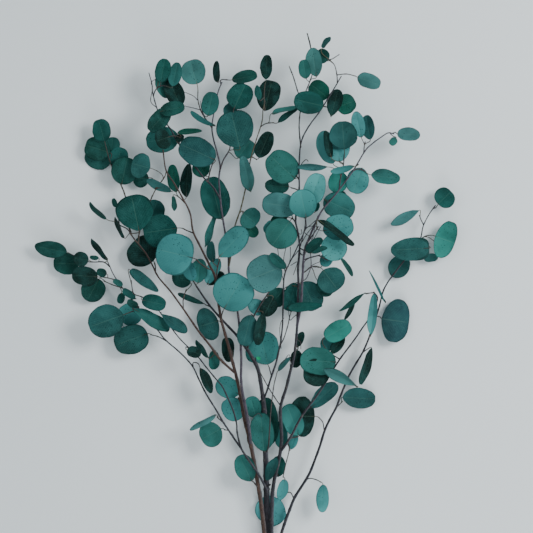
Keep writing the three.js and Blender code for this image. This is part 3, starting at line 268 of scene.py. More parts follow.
    sprig([(1.0, 0.8, 276.2, 472, 16.2, 273, 475, 20, 269, 478, 22)],
      (266, 481, 23, 277, 458, 25, 13, 35, "steel")),
    sprig([(1.0, 0.8, 275.8, 474, 16, 278, 476, 13, 278, 477, 12)],
      (278, 478, 12, 279, 457, 11, 15, 12, "deep")),
    sprig([(0.9, 0.7, 281.8, 443, 20.7, 283, 448, 17.5, 283, 450, 17)],
      (283, 450, 15, 280, 422, 14, 17, 35, "teal")),
    sprig([(0.9, 0.8, 295, 351, 35, 298, 349, 32, 298, 347, 31)],
      (297, 347, 31, 303, 332, 29, 9, 20, "black"), (297, 350, 30, 295, 368, 27, 13, 25, "black")),
    sprig([(1.0, 0.8, 298.2, 294, 45.2, 299, 288, 42, 299.5, 284, 40)],
      (296, 283, 38, 287, 311, 34, 18, 12, "deep"), (303, 282, 38, 316, 310, 34, 27, 5, "steel"),
      (284, 289, 36, 271, 305, 33, 20, 10, "dark")),
    sprig([(0.9, 0.7, 298, 304, 43.2, 294, 305, 46, 290, 307, 50)],
      (288, 308, 52, 322, 306, 54, 12, 40, "deep")),
    sprig([(0.8, 0.7, 299.2, 252, 54.1, 302, 255, 60, 305, 254, 65)],
      (306, 252, 66, 322, 239, 68, 14, 45, "dark")),
    sprig([(0.8, 0.7, 299.4, 248, 55.2, 303, 250, 60, 307, 252, 62)],
      (311, 253, 62, 327, 247, 62, 9, 50, "mid")),
    sprig([(0.9, 0.7, 296, 224, 62.3, 293, 219, 60.5, 291, 218, 60)],
      (290, 221, 60, 272, 246, 58, 32, 6, "mid"), (276, 222, 55, 266, 234, 53, 15, 12, "aqua"),
      (289, 214, 58, 271, 221, 57, 10, 15, "green")),
    sprig([(0.9, 0.7, 296.6, 208, 65.5, 293, 207, 63.5, 291, 206, 63)],
      (298, 208, 63.5, 262, 203, 66, 25, 6, "slate")),
    sprig([(0.9, 0.7, 296.3, 212, 64.6, 299, 215, 69, 302, 217, 71)],
      (306, 218, 72, 300, 190, 75, 28, 4, "aqua")),
    sprig([(0.9, 0.7, 299, 180, 70.6, 297, 177, 68.5, 295.5, 176, 68.5)],
      (295, 179, 68, 269, 155, 69.5, 31, 4, "mid")),
    sprig([(0.9, 0.7, 299, 191, 68.8, 295, 189, 65, 291, 188, 63.5)],
      (289, 187, 63, 265, 185, 60, 16, 10, "dark")),
    sprig([(0.9, 0.6, 300.6, 148, 76.3, 299, 128, 80, 300, 113, 83, 303, 99, 85, 309, 84, 87, 313, 70, 87,
      311, 52, 87, 307, 34, 87), (0.7, 0.5, 302, 102, 84.6, 297, 91, 86, 294, 80, 87, 289, 67, 88)],
      (316, 78, 91, 312, 49, 93, 17, 15, "slate"), (306, 80, 90, 303, 61, 92, 13, 20, "mid")),
    sprig([(0.9, 0.7, 323, 107, 82, 328, 108, 79.5, 332, 109, 79)],
      (323, 107, 85, 294, 100, 86, 23, 5, "deep"), (328, 98, 78, 310, 84, 75, 20, 8, "green"),
      (331, 117, 83, 338, 90, 81, 16, 18, "black", 0.57), (336, 108, 76, 355, 101, 73, 21, 8, "green")),
    sprig([(0.8, 0.5, 337, 84, 86, 336.5, 76, 89.5, 334, 66, 90.5, 328, 61, 91), (0.7, 0.6,
      336.5, 76, 89.5, 346, 75, 89.5, 355, 77, 89)], (327, 62, 90, 317, 52, 88, 15, 10, "dark"),
      (357, 78, 89, 380, 86, 91, 16, 12, "slate"), (322, 49, 92, 330, 38, 94, 10, 55, "steel"))),
  limb("upper_right", "purple", (1.8, 0.7, 297, 326, 39, 299.5, 313, 44, 301.2, 300, 48, 302, 285, 50,
    302.8, 270, 53, 303.5, 258, 56, 305, 248, 58.5, 309, 238, 60, 315, 224, 62, 321, 212, 64,
    328, 203, 66, 335, 195, 67, 342, 186, 68, 350, 175, 69, 356, 166, 70, 365, 151, 71, 372, 144, 72,
    380, 138, 72, 388, 133, 72, 394, 134, 71),
    sprig([(0.9, 0.7, 302.6, 273, 52.4, 306, 271, 50, 311, 267, 50, 316, 267, 50)],
      (323, 270, 49, 338, 290, 47, 29, 5, "steel"), (318, 281, 44, 332, 294, 41, 17, 10, "dark"),
      (322, 266, 46, 331, 254, 44, 13, 10, "aqua")),
    sprig([(0.9, 0.7, 303.4, 260, 55.5, 309, 258, 54, 316, 256, 54, 320, 255, 54), (0.7, 0.6,
      318, 255.4, 54, 328, 260, 50, 337, 258, 49)], (324, 257, 54, 343, 239, 56, 27, 6, "light"),
      (340, 257, 49, 353, 276, 47, 10, 60, "dark")),
    sprig([(0.9, 0.7, 306.5, 244, 59, 312, 236, 63, 318, 227, 65)],
      (323, 231, 62, 353, 224, 60, 26, 5, "aqua"), (318, 220, 68, 354, 245, 70, 12, 50, "black")),
    sprig([(0.9, 0.7, 325, 206.6, 65.2, 327, 205, 62, 329, 201, 60, 332, 197, 59)],
      (324, 199, 60, 354, 213, 57, 27, 5, "mid"), (335, 193, 60, 341, 172, 60, 20, 8, "fresh"),
      (337, 199, 56, 346, 193, 54, 9, 10, "dark")),
    sprig([(0.9, 0.7, 339, 190, 67.5, 340, 180, 71, 343, 166, 74, 344, 155, 76)],
      (344, 150, 79, 342, 122, 81, 28, 5, "steel"), (339, 162, 74, 337, 136, 72, 24, 6, "light"),
      (333, 164, 69, 322, 131, 66, 21, 12, "light"), (331, 158, 77, 325, 131, 77.5, 9, 20, "black"),
      (327, 167.5, 76, 296, 167, 77, 12, 58, "slate")),
    sprig([(0.9, 0.7, 352.4, 171.4, 69.4, 358, 169, 66, 365, 171, 65)],
      (362, 168, 64, 353, 193, 61.5, 23, 6, "aqua"), (371, 175, 65, 400, 179, 63, 16, 15, "mid")),
    sprig([(0.8, 0.6, 363.5, 153.5, 70.9, 364, 147, 73, 365, 142, 74)],
      (370, 140, 75, 366, 115, 76, 14, 20, "steel"), (361, 138, 80, 355, 112, 82, 14, 15, "light")),
    sprig([(0.8, 0.6, 357, 164.3, 70.1, 358, 165, 76, 357, 166, 79)],
      (354, 167, 81, 330, 172, 83, 11, 52, "aqua")),
    sprig([(0.7, 0.6, 392, 133.5, 71.3, 395, 132.5, 73, 396, 133, 73.5)],
      (397, 134, 74, 420, 135, 75, 15, 20, "slate")),
    sprig([(0.7, 0.6, 390, 133.3, 71.7, 392, 135.5, 72, 394, 137, 72.5)],
      (396, 138, 72, 390, 145, 71, 8, 15, "mid"))),
  limb("inner", "grey", (1.4, 0.6, 263.3, 401, 20.7, 267, 391, 25.5, 271, 378, 28, 276, 363, 31,
    279, 350, 33, 281, 340, 35, 282.5, 325, 37, 283, 310, 40, 283.3, 298, 42, 283.5, 285, 44,
    285, 273, 48, 290, 262, 53, 295, 252, 60, 300, 241, 63, 304, 232, 65, 306, 226, 66, 305, 214, 67,
    307, 207, 68),
    sprig([(0.8, 0.6, 271.5, 376, 28.4, 270, 371, 25, 269, 367, 23)],
      (268, 365, 22, 260, 333, 19, 31, 4, "aqua")),
    sprig([(0.8, 0.6, 279.8, 346, 33.8, 284, 338, 36, 288, 325, 38, 290, 315, 39)],
      (291, 312, 39, 293, 303, 40, 7, 30, "dark")),
    sprig([(0.8, 0.6, 285.6, 271.5, 48.5, 284, 268, 51, 282, 267, 53)],
      (281, 267, 54, 248, 280, 56, 37, 4, "slate", 0.55),
      (286, 268, 61.5, 270, 254, 63.5, 13, 40, "mid")),
    sprig([(0.8, 0.6, 306.5, 208, 67.8, 308, 204, 70, 309, 202, 70)],
      (309, 205, 71, 320, 174, 75, 22, 10, "light"), (315, 212, 70, 318, 203, 71, 7, 35, "deep"))),
  limb("low_right", "grey", (1.8, 0.8, 281.3, 451, 19.7, 285, 446, 23.5, 289, 440, 25, 293, 433, 26,
    298, 423, 27, 304, 413, 28, 310, 405, 29, 316, 397, 29.5, 323, 387, 30, 329, 376, 31, 335, 367, 32,
    341, 358, 33, 347, 350, 34, 356, 338, 35, 362, 329, 36, 369, 319, 37, 375, 307, 38, 378, 298, 38.5,
    374, 292, 39),
    sprig([(0.9, 0.6, 287, 443, 24.2, 289, 447, 21, 289, 452, 20, 286, 464, 19, 283, 478, 18)],
      (285, 480, 18, 280, 501, 16, 12, 20, "aqua"), (291, 450, 18.3, 296, 434, 16.8, 10, 20, "aqua")),
    sprig([(0.8, 0.6, 290, 438.5, 25.2, 294, 438, 23, 297, 437, 21.5)],
      (299, 436, 21, 287, 405, 19.5, 21, 6, "teal")),
    sprig([(0.9, 0.6, 308, 407.7, 28.7, 310, 408, 25, 311, 408, 24)],
      (311, 408, 24, 337, 384, 23, 17, 15, "steel", 0.57)),
    sprig([(0.8, 0.6, 329.5, 375, 31, 329, 374, 33, 328, 374, 34)],
      (330, 373, 34, 303, 372, 34.5, 28, 4, "black")),
    sprig([(0.9, 0.7, 333, 370, 31.6, 334, 364, 35, 336, 362, 37.5)],
      (336, 362, 38, 300, 360, 39, 28, 4, "mid")),
    sprig([(0.9, 0.6, 340, 359.5, 32.8, 336, 357, 31, 333, 355, 30)],
      (325, 338, 37, 351, 324, 39, 20, 8, "fresh", 0.45), (332, 354, 31, 344, 336, 33, 12, 25, "black"),
      (328, 352, 26, 326, 337, 25, 13, 8, "aqua")),
    sprig([(0.8, 0.6, 375, 292.8, 39, 371, 293, 41, 366, 294, 41)],
      (365, 293, 41, 339, 311, 39, 9, 55, "dark"), (355, 301, 31, 345, 320, 28.5, 7, 45, "black"))),
  limb("outer_right", "grey", (2.2, 0.7, 268.1, 588, 4.9, 272.8, 572, 6.4, 277.4, 551, 9, 282, 533, 11,
    289, 513, 12.5, 294.5, 499, 14, 300, 490, 15, 307, 479, 16, 311.5, 470, 17, 316, 458, 18,
    320, 447, 19, 325, 431, 20, 330.5, 419, 21, 336.5, 408, 22, 341, 396, 23, 345.5, 385, 24,
    350.5, 374, 25, 357, 363, 26, 363, 353, 27, 368, 342, 28, 372, 331, 29.5, 376.5, 318, 31,
    380, 306, 32.5, 383.5, 292, 34, 388, 283, 35, 393, 276, 36, 399, 268, 38, 406, 259, 39, 413, 249, 40,
    421, 239, 41, 424, 226, 42, 430, 214, 43, 436.5, 205, 43.5),
    sprig([(0.8, 0.6, 294, 500, 13.9, 291, 494, 13, 287, 494, 10, 283, 497, 7)],
      (281, 502, 4.2, 261, 523, 1.2, 32, 0, "light")),
    sprig([(0.8, 0.6, 306, 480.5, 15.9, 311, 479, 18, 318, 481, 19, 321, 483, 19)],
      (323, 485, 19, 322, 513, 17, 14, 20, "aqua")),
    sprig([(0.8, 0.6, 324.5, 432.5, 19.9, 323, 423, 22, 319, 418, 23)],
      (315, 417, 18, 290, 417, 15.5, 41, 4, "black")),
    sprig([(0.8, 0.6, 336, 409, 21.9, 340, 405, 20, 343, 402, 18)],
      (343, 398, 17, 376, 400, 13, 21, 5, "steel")),
    sprig([(0.8, 0.6, 346.5, 382.6, 24.2, 352, 384, 32, 357, 387, 39)],
      (357, 386, 43, 324, 368, 45, 13, 32, "slate", 0.64)),
    sprig([(0.8, 0.6, 363, 353, 27, 367, 350, 30, 370, 348, 31)],
      (372, 348, 31, 361, 385, 28, 12, 38, "black", 0.57)),
    sprig([(0.8, 0.6, 377, 316.5, 31.2, 380, 317, 29, 382, 318, 28)],
      (382, 319, 27, 410, 323, 23, 44, 4, "dusk", 0.53)),
    sprig([(0.8, 0.6, 372.5, 329.5, 29.6, 371, 333, 33, 371, 335, 37)],
      (371, 335, 42, 375, 293, 48, 11, 35, "light")),
    sprig([(0.7, 0.6, 382, 298, 33.3, 385, 300, 36, 386, 302, 40)],
      (385, 302, 43, 370, 270, 48, 5, 62, "aqua")),
    sprig([(0.8, 0.6, 390, 280, 35.4, 392, 278, 32, 393, 277, 31)],
      (393, 277, 29.9, 407, 257, 26.7, 21, 5, "steel")),
    sprig([(0.8, 0.6, 419, 241.5, 40.7, 424, 243, 44.5, 427, 245, 46)],
      (430, 248, 47, 391, 250, 48, 24, 8, "steel", 0.4)),
    sprig([(0.8, 0.6, 420, 240.2, 40.9, 426, 236, 42, 432, 235, 42)],
      (436, 236, 42, 456, 243, 41, 39, 5, "fresh"), (439, 257, 38, 425, 258, 36, 10, 30, "steel")),
    sprig([(0.8, 0.6, 424.5, 224.5, 42.1, 422, 220, 44, 420, 215, 45)],
      (420, 210, 46, 391, 224, 47, 11, 25, "slate", 0.6)),
    sprig([(0.7, 0.6, 434.5, 208, 43.4, 437, 207.5, 45)], (439, 204, 46, 452, 191, 47, 22, 4, "deep"))),
  limb("low_left", "grey", (1.7, 0.6, 266.7, 499, 9.7, 266.5, 491, 15.5, 262, 481, 20.5, 258, 474, 22.5,
    252, 465, 24, 245, 455, 25, 240, 447, 25.5, 235, 440, 26, 229, 431, 27, 223, 422, 28, 216, 410, 29,
    206, 394, 30, 199, 380, 31, 192, 366, 32, 180, 353, 33, 165, 340, 34, 158, 331, 35, 149, 320, 36,
    139, 309, 37, 129, 297, 38, 119, 284, 39, 112, 273, 39, 108, 264, 39, 103, 255, 38.5),
    sprig([(0.8, 0.6, 237, 443, 25.8, 230, 432, 24.5, 224, 430, 24)],
      (221, 429, 24, 201, 440, 22, 26, 5, "mid")),
    sprig([(0.8, 0.6, 223.5, 423, 27.9, 219, 419, 30, 217, 417, 30)],
      (216, 415, 33, 190, 430, 34, 9, 45, "slate")),
    sprig([(0.8, 0.6, 193, 368, 31.9, 193, 363, 34, 197, 363, 34.5, 199, 365, 34)],
      (200, 368, 33, 212, 393, 30, 12, 38, "black")),
    sprig([(0.8, 0.6, 167, 341.7, 33.9, 158, 337, 32, 150, 335, 31)],
      (147, 334, 31, 114, 346, 29, 30, 5, "steel")),
    sprig([(0.8, 0.6, 141, 311.3, 36.8, 134, 311, 40, 128, 313, 42)],
      (123, 315, 43, 89, 327, 44, 33, 5, "steel"), (133, 308.5, 44.5, 170, 330, 46, 16, 33, "mid", 0.57)),
    sprig([(0.8, 0.6, 137, 306.6, 37.2, 137, 308, 33.5, 135, 309, 32)],
      (137, 307, 31, 121, 322, 28, 24, 10, "aqua")),
    sprig([(0.8, 0.6, 136, 305.4, 37.3, 138, 307, 40, 139, 307, 41.5)],
      (138, 306, 43, 127, 301, 44, 10, 40, "dark")),
    sprig([(0.8, 0.6, 131, 299.4, 37.8, 134, 299, 40.5, 136, 299, 41)],
      (135, 298, 42, 123, 289, 43, 10, 40, "mid")),
    sprig([(0.8, 0.6, 122, 288, 38.7, 112, 285, 36, 103, 281, 35)],
      (98, 279, 34, 86, 301, 31, 24, 6, "dark"), (121, 293, 33, 119, 304, 31, 8, 15, "deep")),
    sprig([(0.8, 0.6, 116, 280, 39, 107, 278, 38, 101, 277, 38)],
      (97, 277, 41, 71, 275, 41.5, 20, 8, "black"), (106, 274, 41, 96, 271, 42, 9, 15, "dark"),
      (113, 280, 43, 122, 286, 44, 8, 40, "mid")),
    sprig([(0.9, 0.6, 109, 266.5, 39, 103, 262, 41, 94, 262, 42, 84, 261, 41, 74, 256, 41, 68, 253, 41)],
      (66, 252, 41, 33, 246, 42, 18, 20, "dark", 0.45), (78, 264, 36, 52, 263, 34, 22, 6, "dark"),
      (88, 260, 45, 73, 258, 46, 15, 6, "black"), (98, 258, 43, 89, 257, 44, 6, 40, "dark"),
      (107, 260, 44, 90, 239, 47, 12, 58, "black"))),
  limb("second_left", "grey", (1.2, 0.6, 241.5, 449.5, 25.4, 239, 441, 29, 237, 431, 31, 236.5, 423, 31.5,
    233, 410, 32.5, 227, 396, 34, 222, 386, 35, 216, 379, 36, 206, 367, 37, 199, 358, 38, 190, 349, 39,
    180, 339, 40, 172, 329, 41, 166, 321, 41.5, 161, 314, 42, 155, 306, 42.5, 148, 300, 43),
    sprig([(0.8, 0.6, 189, 348, 39.1, 186, 347, 42, 186, 349, 43)],
      (187, 350, 43, 201, 354, 44, 12, 15, "black")),
    sprig([(0.8, 0.6, 163, 317, 41.8, 161, 313, 45, 161, 312, 46)],
      (161, 314, 46, 187, 333, 47, 14, 33, "steel", 0.62)),
    sprig([(0.8, 0.6, 150, 301.7, 42.9, 142, 297, 46, 134, 294, 47, 132, 288, 47.5, 131, 280, 48)],
      (130, 270, 49, 158, 292, 48, 12, 30, "steel", 0.35), (142, 300, 49, 166, 305, 50, 16, 8, "deep"))),
]

# Bare twigs, stubs and a bud, as small as they are, by the limb that they grow from.
BARE_TWIGS = {
  "right": [
    (0.8, 0.5, 300.4, 246, 56, 303, 235, 61, 305, 224, 66, 304.2, 213, 70),
    (0.5, 0.4, 304.5, 228, 64, 308.3, 226.7, 66, 313.3, 222.5, 67, 316.7, 219.6, 68),
    (0.6, 0.4, 302, 242, 60, 306, 235, 62, 311.7, 227.5, 66, 316.7, 220, 68),
    (0.5, 0.4, 303.5, 233, 62, 306.7, 228, 64, 311, 226.3, 65, 319, 227, 66),
    (0.5, 0.4, 298, 232.5, 60, 300, 234.5, 61, 301.7, 233, 62, 301, 229.5, 63),
    (0.5, 0.4, 304.5, 233, 62, 308.5, 236, 62, 311.7, 239.5, 62),
    (0.6, 0.4, 299, 250, 54, 294, 256, 52, 290.8, 260.5, 50, 288.3, 266, 48, 285, 272.5, 46),
    (0.5, 0.4, 285.8, 248, 52, 283.8, 258, 50, 283.8, 265, 48.5, 285, 272, 46.5),
    (0.5, 0.4, 290.4, 247, 53, 290.2, 258, 51, 288.3, 267, 48),
    (0.5, 0.4, 277.5, 248, 53, 279, 258, 51, 281, 263, 50),
    (0.7, 0.4, 299, 252, 54.5, 298.4, 259, 52, 296.5, 266, 50, 293.3, 275, 47),
    (0.5, 0.4, 296.7, 261.7, 51, 293, 264, 50, 290.5, 265.5, 49),
    (0.9, 0.6, 281, 405.5, 25.5, 278, 402.5, 26, 269, 388.6, 26.8, 260, 372.5, 25.6),
    (0.5, 0.4, 290.3, 371, 31, 289.5, 355, 34, 284, 361, 33, 280.7, 364.5, 31.5),
    (0.7, 0.4, 297, 335, 37.5, 298, 340, 38.5, 300.5, 342, 39, 300.8, 349, 38),
    (0.6, 0.4, 297.7, 314, 41, 293.6, 317, 41.5, 290, 320, 41, 288.5, 311, 42),
    (0.6, 0.5, 299.3, 168, 72.6, 302.5, 163, 74, 306, 160, 75, 308, 162, 75),
    (0.7, 0.5, 328, 61, 91, 332, 60, 91.5, 336, 57.5, 92, 339, 55.5, 92),
    (0.8, 0.7, 311.5, 54, 87, 309.6, 43, 87, 307, 34, 87),
    (0.8, 0.7, 297.2, 91.5, 86, 293.5, 79, 87, 289.3, 68, 88)],
  "upper_right": [
    (0.7, 0.4, 304, 253, 57.3, 308, 246.7, 60, 315, 236.7, 63, 320.4, 226.7, 66),
    (0.5, 0.4, 309.6, 244, 61, 312.5, 238, 64, 313.5, 233, 65, 315.4, 224, 67),
    (0.6, 0.4, 303.2, 264, 54.5, 306, 260, 56, 311.7, 257.4, 57, 322, 255.5, 56),
    (0.6, 0.5, 302.6, 281, 50.8, 306.7, 277.5, 52, 310.8, 266, 53, 310.4, 252, 55),
    (0.5, 0.4, 310.8, 266, 53, 315, 263.7, 54, 320, 261.7, 54),
    (0.6, 0.4, 336, 194, 67.2, 331, 200, 68.5, 325.5, 206, 69, 317, 217, 69.5)],
  "inner": [
    (0.6, 0.4, 281, 348.6, 33.3, 280.7, 343, 35, 279.8, 330, 36, 281, 322, 38, 284, 318, 39),
    (0.5, 0.4, 284, 283, 44.5, 281.5, 274, 47, 277, 266.3, 49)],
  "left": [
    (0.6, 0.4, 252.2, 452, 19.5, 247.5, 441.5, 20, 247, 433, 20),
    (0.7, 0.5, 229, 348, 31, 232, 351, 32, 232.5, 356, 32)],
  "grey": [
    (0.6, 0.4, 198.3, 101, 71.9, 194, 96.5, 73, 189, 94, 74.5, 182, 91.5, 75),
    (0.6, 0.4, 200.4, 110, 70.2, 193, 108, 71.5, 184, 106, 73),
    (0.5, 0.4, 205, 117, 68.3, 201.5, 109, 70.5, 200.5, 101, 71.5)],
  "tall_left": [
    (0.6, 0.5, 157.2, 108, 75.2, 151.8, 103.5, 76.5, 150.8, 99, 77, 152.6, 90, 77.8),
    (0.5, 0.4, 152.6, 87, 78, 151.3, 83, 79, 153.8, 80.5, 80, 156.5, 79.5, 80)],
  "main": [
    (1.5, 1.2, 266.2, 489, 11, 268.5, 486.5, 13.5, 270.5, 485.5, 15),
    (0.7, 0.5, 257, 366, 25.8, 255.8, 361, 27.5, 255.4, 357.5, 29),
    (0.5, 0.3, 264, 421, 17.8, 259, 414, 23.6, 254, 417, 23.2, 252, 420.5, 22.8)],
}
BUDS = {"main": [(256.5, 357.5, 29.5, 260.5, 359.5, 30.5, 3.2, 10, "bud")]}


def colour(written):
    """A screen colour, written as six hexadecimal digits, as the linear colour that light works in."""
    channels = [int(written[i:i + 2], 16) / 255 for i in (0, 2, 4)]
    return tuple(c / 12.92 if c <= 0.04045 else ((c + 0.055) / 1.055) ** 2.4 for c in channels)


def dim(tone, share):
    return tuple(channel * share for channel in tone)


def blend(a, b, share):
    return tuple(x + (y - x) * share for x, y in zip(a, b))


def sag_at(across, down):
    """The sag of the crown under its own weight, in squares, at a point of the plan."""
    run = max(0, SAG_FROM - down) / SAG_LENGTH
    side = (across - AXIS_ACROSS) / SIDE_SAG_REACH
    aside = SIDE_SAG * (1 - math.exp(-side * side)) * min(1, run / SIDE_SAG_RUN)
    return CROWN_SAG * run ** SAG_POWER + aside


def place(point):
    """A point of the plan in the frame."""
    across, down, height = point
    return TO_FRAME + SQUARE * Vector(
        (across - CENTRE_ACROSS, CENTRE_DOWN - down, height - sag_at(across, down)))


def smooth_path(knots, step):
    """A smooth curve through the knots as points about a step apart, and each point's share of the run."""
    knots = [2 * knots[0] - knots[1], *knots, 2 * knots[-1] - knots[-2]]
    spans = len(knots) - 3
    points, shares = [], []
    for i in range(spans):
        before, start, end, after = knots[i:i + 4]
        count = max(2, math.ceil((end - start).length / step))
        leave, arrive = (end - before) / 2, (after - start) / 2
        for k in range(count + (i == spans - 1)):
            t = k / count
            points.append(start + leave * t + (3 * (end - start) - 2 * leave - arrive) * t ** 2
                          + (2 * (start - end) + leave + arrive) * t ** 3)
            shares.append((i + t) / spans)
    return points, shares


class Heap:
    """What one piece is made of so far: its corners, its faces and what each corner carries."""

    def __init__(self, name):
        self.name = name
        self.corners, self.faces, self.finishes = [], [], []
        self.tones, self.grains = [], []

    def corner(self, point, tone, grain):
        point.z = max(point.z, 0)
        self.corners.append(point)
        self.tones.append((*tone, 1))
        self.grains.append(grain)
        return len(self.corners) - 1

    def face(self, *corners, finish=0):
        self.faces.append(corners)
        self.finishes.append(finish)

    def grid(self, rows, closed=False):
        for row, following in zip(rows, rows[1:]):
            for k in range(len(row) - (not closed)):
                n = (k + 1) % len(row)
                self.face(row[k], row[n], following[n], following[k])

    def piece(self, *finishes):
        mesh = bpy.data.meshes.new(self.name)
        mesh.from_pydata(self.corners, [], self.faces)
        for name, kind, holds, values in (("tone", "FLOAT_COLOR", "color", self.tones),
                                          ("grain", "FLOAT_VECTOR", "vector", self.grains)):
            layer = mesh.attributes.new(name, kind, "POINT")
            layer.data.foreach_set(holds, [number for value in values for number in value])
        mesh.polygons.foreach_set("use_smooth", [True] * len(self.faces))
        mesh.polygons.foreach_set("material_index", self.finishes)
        for finish in finishes:
            mesh.materials.append(finish)
        made = bpy.data.objects.new(self.name, mesh)
        bpy.context.scene.collection.objects.link(made)
        return made


def frames_along(path):
    """Two directions across the path at each point, turned as little as possible, and its own."""
    last = len(path) - 1
    tangents = [(path[min(i + 1, last)] - path[max(i - 1, 0)]).normalized() for i in range(len(path))]
    first = tangents[0].cross(Vector((0, 0, 1)))
    if first.length < 1e-3:
        first = tangents[0].cross(Vector((1, 0, 0)))
    first.normalize()
    frames = []
    for tangent in tangents:
        first = (first - tangent * first.dot(tangent)).normalized()
        frames.append((first, tangent.cross(first), tangent))
    return frames


def rod(heap, path, radii, sides, tone, shape=lambda *where: 1, cut_start=False):
    """A closed round stem along a path, with its colour from tone and its swelling from shape."""
    frames = frames_along(path)
    rows, run = [], 0.0
    for i, (point, radius, (first, second, _)) in enumerate(zip(path, radii, frames)):
        run += (point - path[i - 1]).length if i else 0
        row = []
        for k in range(sides):
            turn = 2 * math.pi * k / sides
            out = math.cos(turn) * first + math.sin(turn) * second
            reach = radius * shape(point + out * radius, run, turn)
            grain = (math.cos(turn), math.sin(turn), run * CENTIMETRES)
            row.append(heap.corner(point + out * reach, tone(point, run, turn), grain))
        rows.append(row)
    heap.grid(rows, closed=True)
    for end, sign in ((0, -1), (-1, 1)):
        row, point, outwards = rows[end], path[end], frames[end][2] * sign
        flat = cut_start and sign < 0
        bulge = 0 if flat else END_BULGE * radii[end]
        hub = heap.corner(point + outwards * bulge, tone(point, run, 0), (0, 0, run * CENTIMETRES))
        if flat:
            row = [heap.corner(heap.corners[k], colour(CUT_WOOD), heap.grains[k]) for k in row]
        for k in range(sides):
            n = (k + 1) % sides
            heap.face(*((row[n], row[k], hub) if sign < 0 else (row[k], row[n], hub)), finish=int(flat))


def knots_on(seed, run, spacing, height, reach):
    """How far the knots of old leaves swell a stem at a run along it, as a share of its radius."""
    swell = 0.0
    nearest = round(run / spacing)
    for mark in (nearest - 1, nearest, nearest + 1):
        where = (mark + KNOT_WANDER * noise.noise(Vector((mark * 3.7, seed, 1)))) * spacing
        size = KNOT_LEAST + KNOT_SPAN * noise.noise(Vector((mark, seed * 1.3, 5)))
        swell += height * size * math.exp(-((run - where) / reach) ** 2)
    return swell


def stem(heap, plan, bark, seed, sides, step, cut_start=False):
    """A limb's or twig's own wood: it thins towards its end, with knots and long shallow ridges."""
    path, shares = smooth_path([place(point) for point in plan["points"]], step)
    r0, r1 = plan["r0"], plan["r1"]
    radii = [r0 + (r1 - r0) * share ** TAPER_POWER for share in shares]
    thick = r0 > THICK_WOOD
    spacing = KNOT_SPACING[thick]

    def shape(point, run, turn):
        around = RIDGES_AROUND * math.cos(turn), RIDGES_AROUND * math.sin(turn)
        ridges = noise.noise(Vector((*around, run * RIDGES_ALONG + seed * 9)))
        return (1 + RIDGE_DEPTH[thick] * ridges + LUMP_DEPTH * noise.noise(point * LUMPS)
                + knots_on(seed, run, spacing, KNOT_HEIGHT[thick], KNOT_REACH))

    def shade(point, run, turn):
        mottle = 0.5 + 0.5 * noise.noise(point * MOTTLES + Vector((seed, 0, 0)))
        knot = min(1.0, STAIN_GAIN * knots_on(seed, run, spacing, STAIN_HEIGHT, STAIN_REACH))
        return dim(bark, (MOTTLE_LOW + MOTTLE_SPAN * mottle) * (1 - STAIN_DEPTH * knot))

    rod(heap, path, radii, sides, shade, shape, cut_start)
    return path


def blade_frame(plan):
    """A blade's foot, its directions along the midrib, across it and out of its upper face, its length."""
    foot = place(plan["base"])
    along = place(plan["tip"]) - foot
    length = along.length
    along.normalize()
    up = (Vector((0, 0, 1)) - along * along.z).normalized()
    side = up.cross(along)
    turn = math.radians(plan["roll"])
    face = up * math.cos(turn) + side * math.sin(turn)
    return foot, along, face.cross(along), face, length


def stalk(heap, plan, wood, draw):
    """A leaf's stalk, from near the nearest place on its twig in one bend to the foot of the blade."""
    foot, along, _, face, length = blade_frame(plan)
    gaps = [(point - foot).length for point in wood]
    nearest = min(range(len(wood)), key=gaps.__getitem__)
    back = nearest
    run = 0.0
    while back > len(wood) // 3 and run < STALK_LEAN * gaps[nearest]:
        run += (wood[back] - wood[back - 1]).length
        back -= 1
    root = wood[back]
    reach = (foot - root).length
    heading = (wood[min(back + 1, len(wood) - 1)] - wood[max(back - 1, 0)]).normalized()
    knees = (root, root + heading * STALK_BEND * reach, foot - along * STALK_BEND * reach, foot)
    count = max(5, math.ceil(reach / STALK_STEP))
    path, radii = [], []
    for k in range(count + 1):
        t = k / count
        weights = ((1 - t) ** 3, 3 * t * (1 - t) ** 2, 3 * t * t * (1 - t), t ** 3)
        path.append(sum((knee * weight for knee, weight in zip(knees, weights)), Vector()))
        radii.append(STALK_ROOT_RADIUS + (STALK_FOOT_RADIUS - STALK_ROOT_RADIUS) * t)
    under = BLADE_THICKNESS * STALK_DEPTH
    for share, sunk, thinned in STALK_ENDS:
        path.append(foot + along * length * share - face * under * sunk)
        radii.append(STALK_FOOT_RADIUS * thinned)
    tone = dim(colour(draw.choice(STALK_TONES)), draw.uniform(0.8, 1.15))
    rod(heap, path, radii, STALK_SIDES, lambda *where: tone)


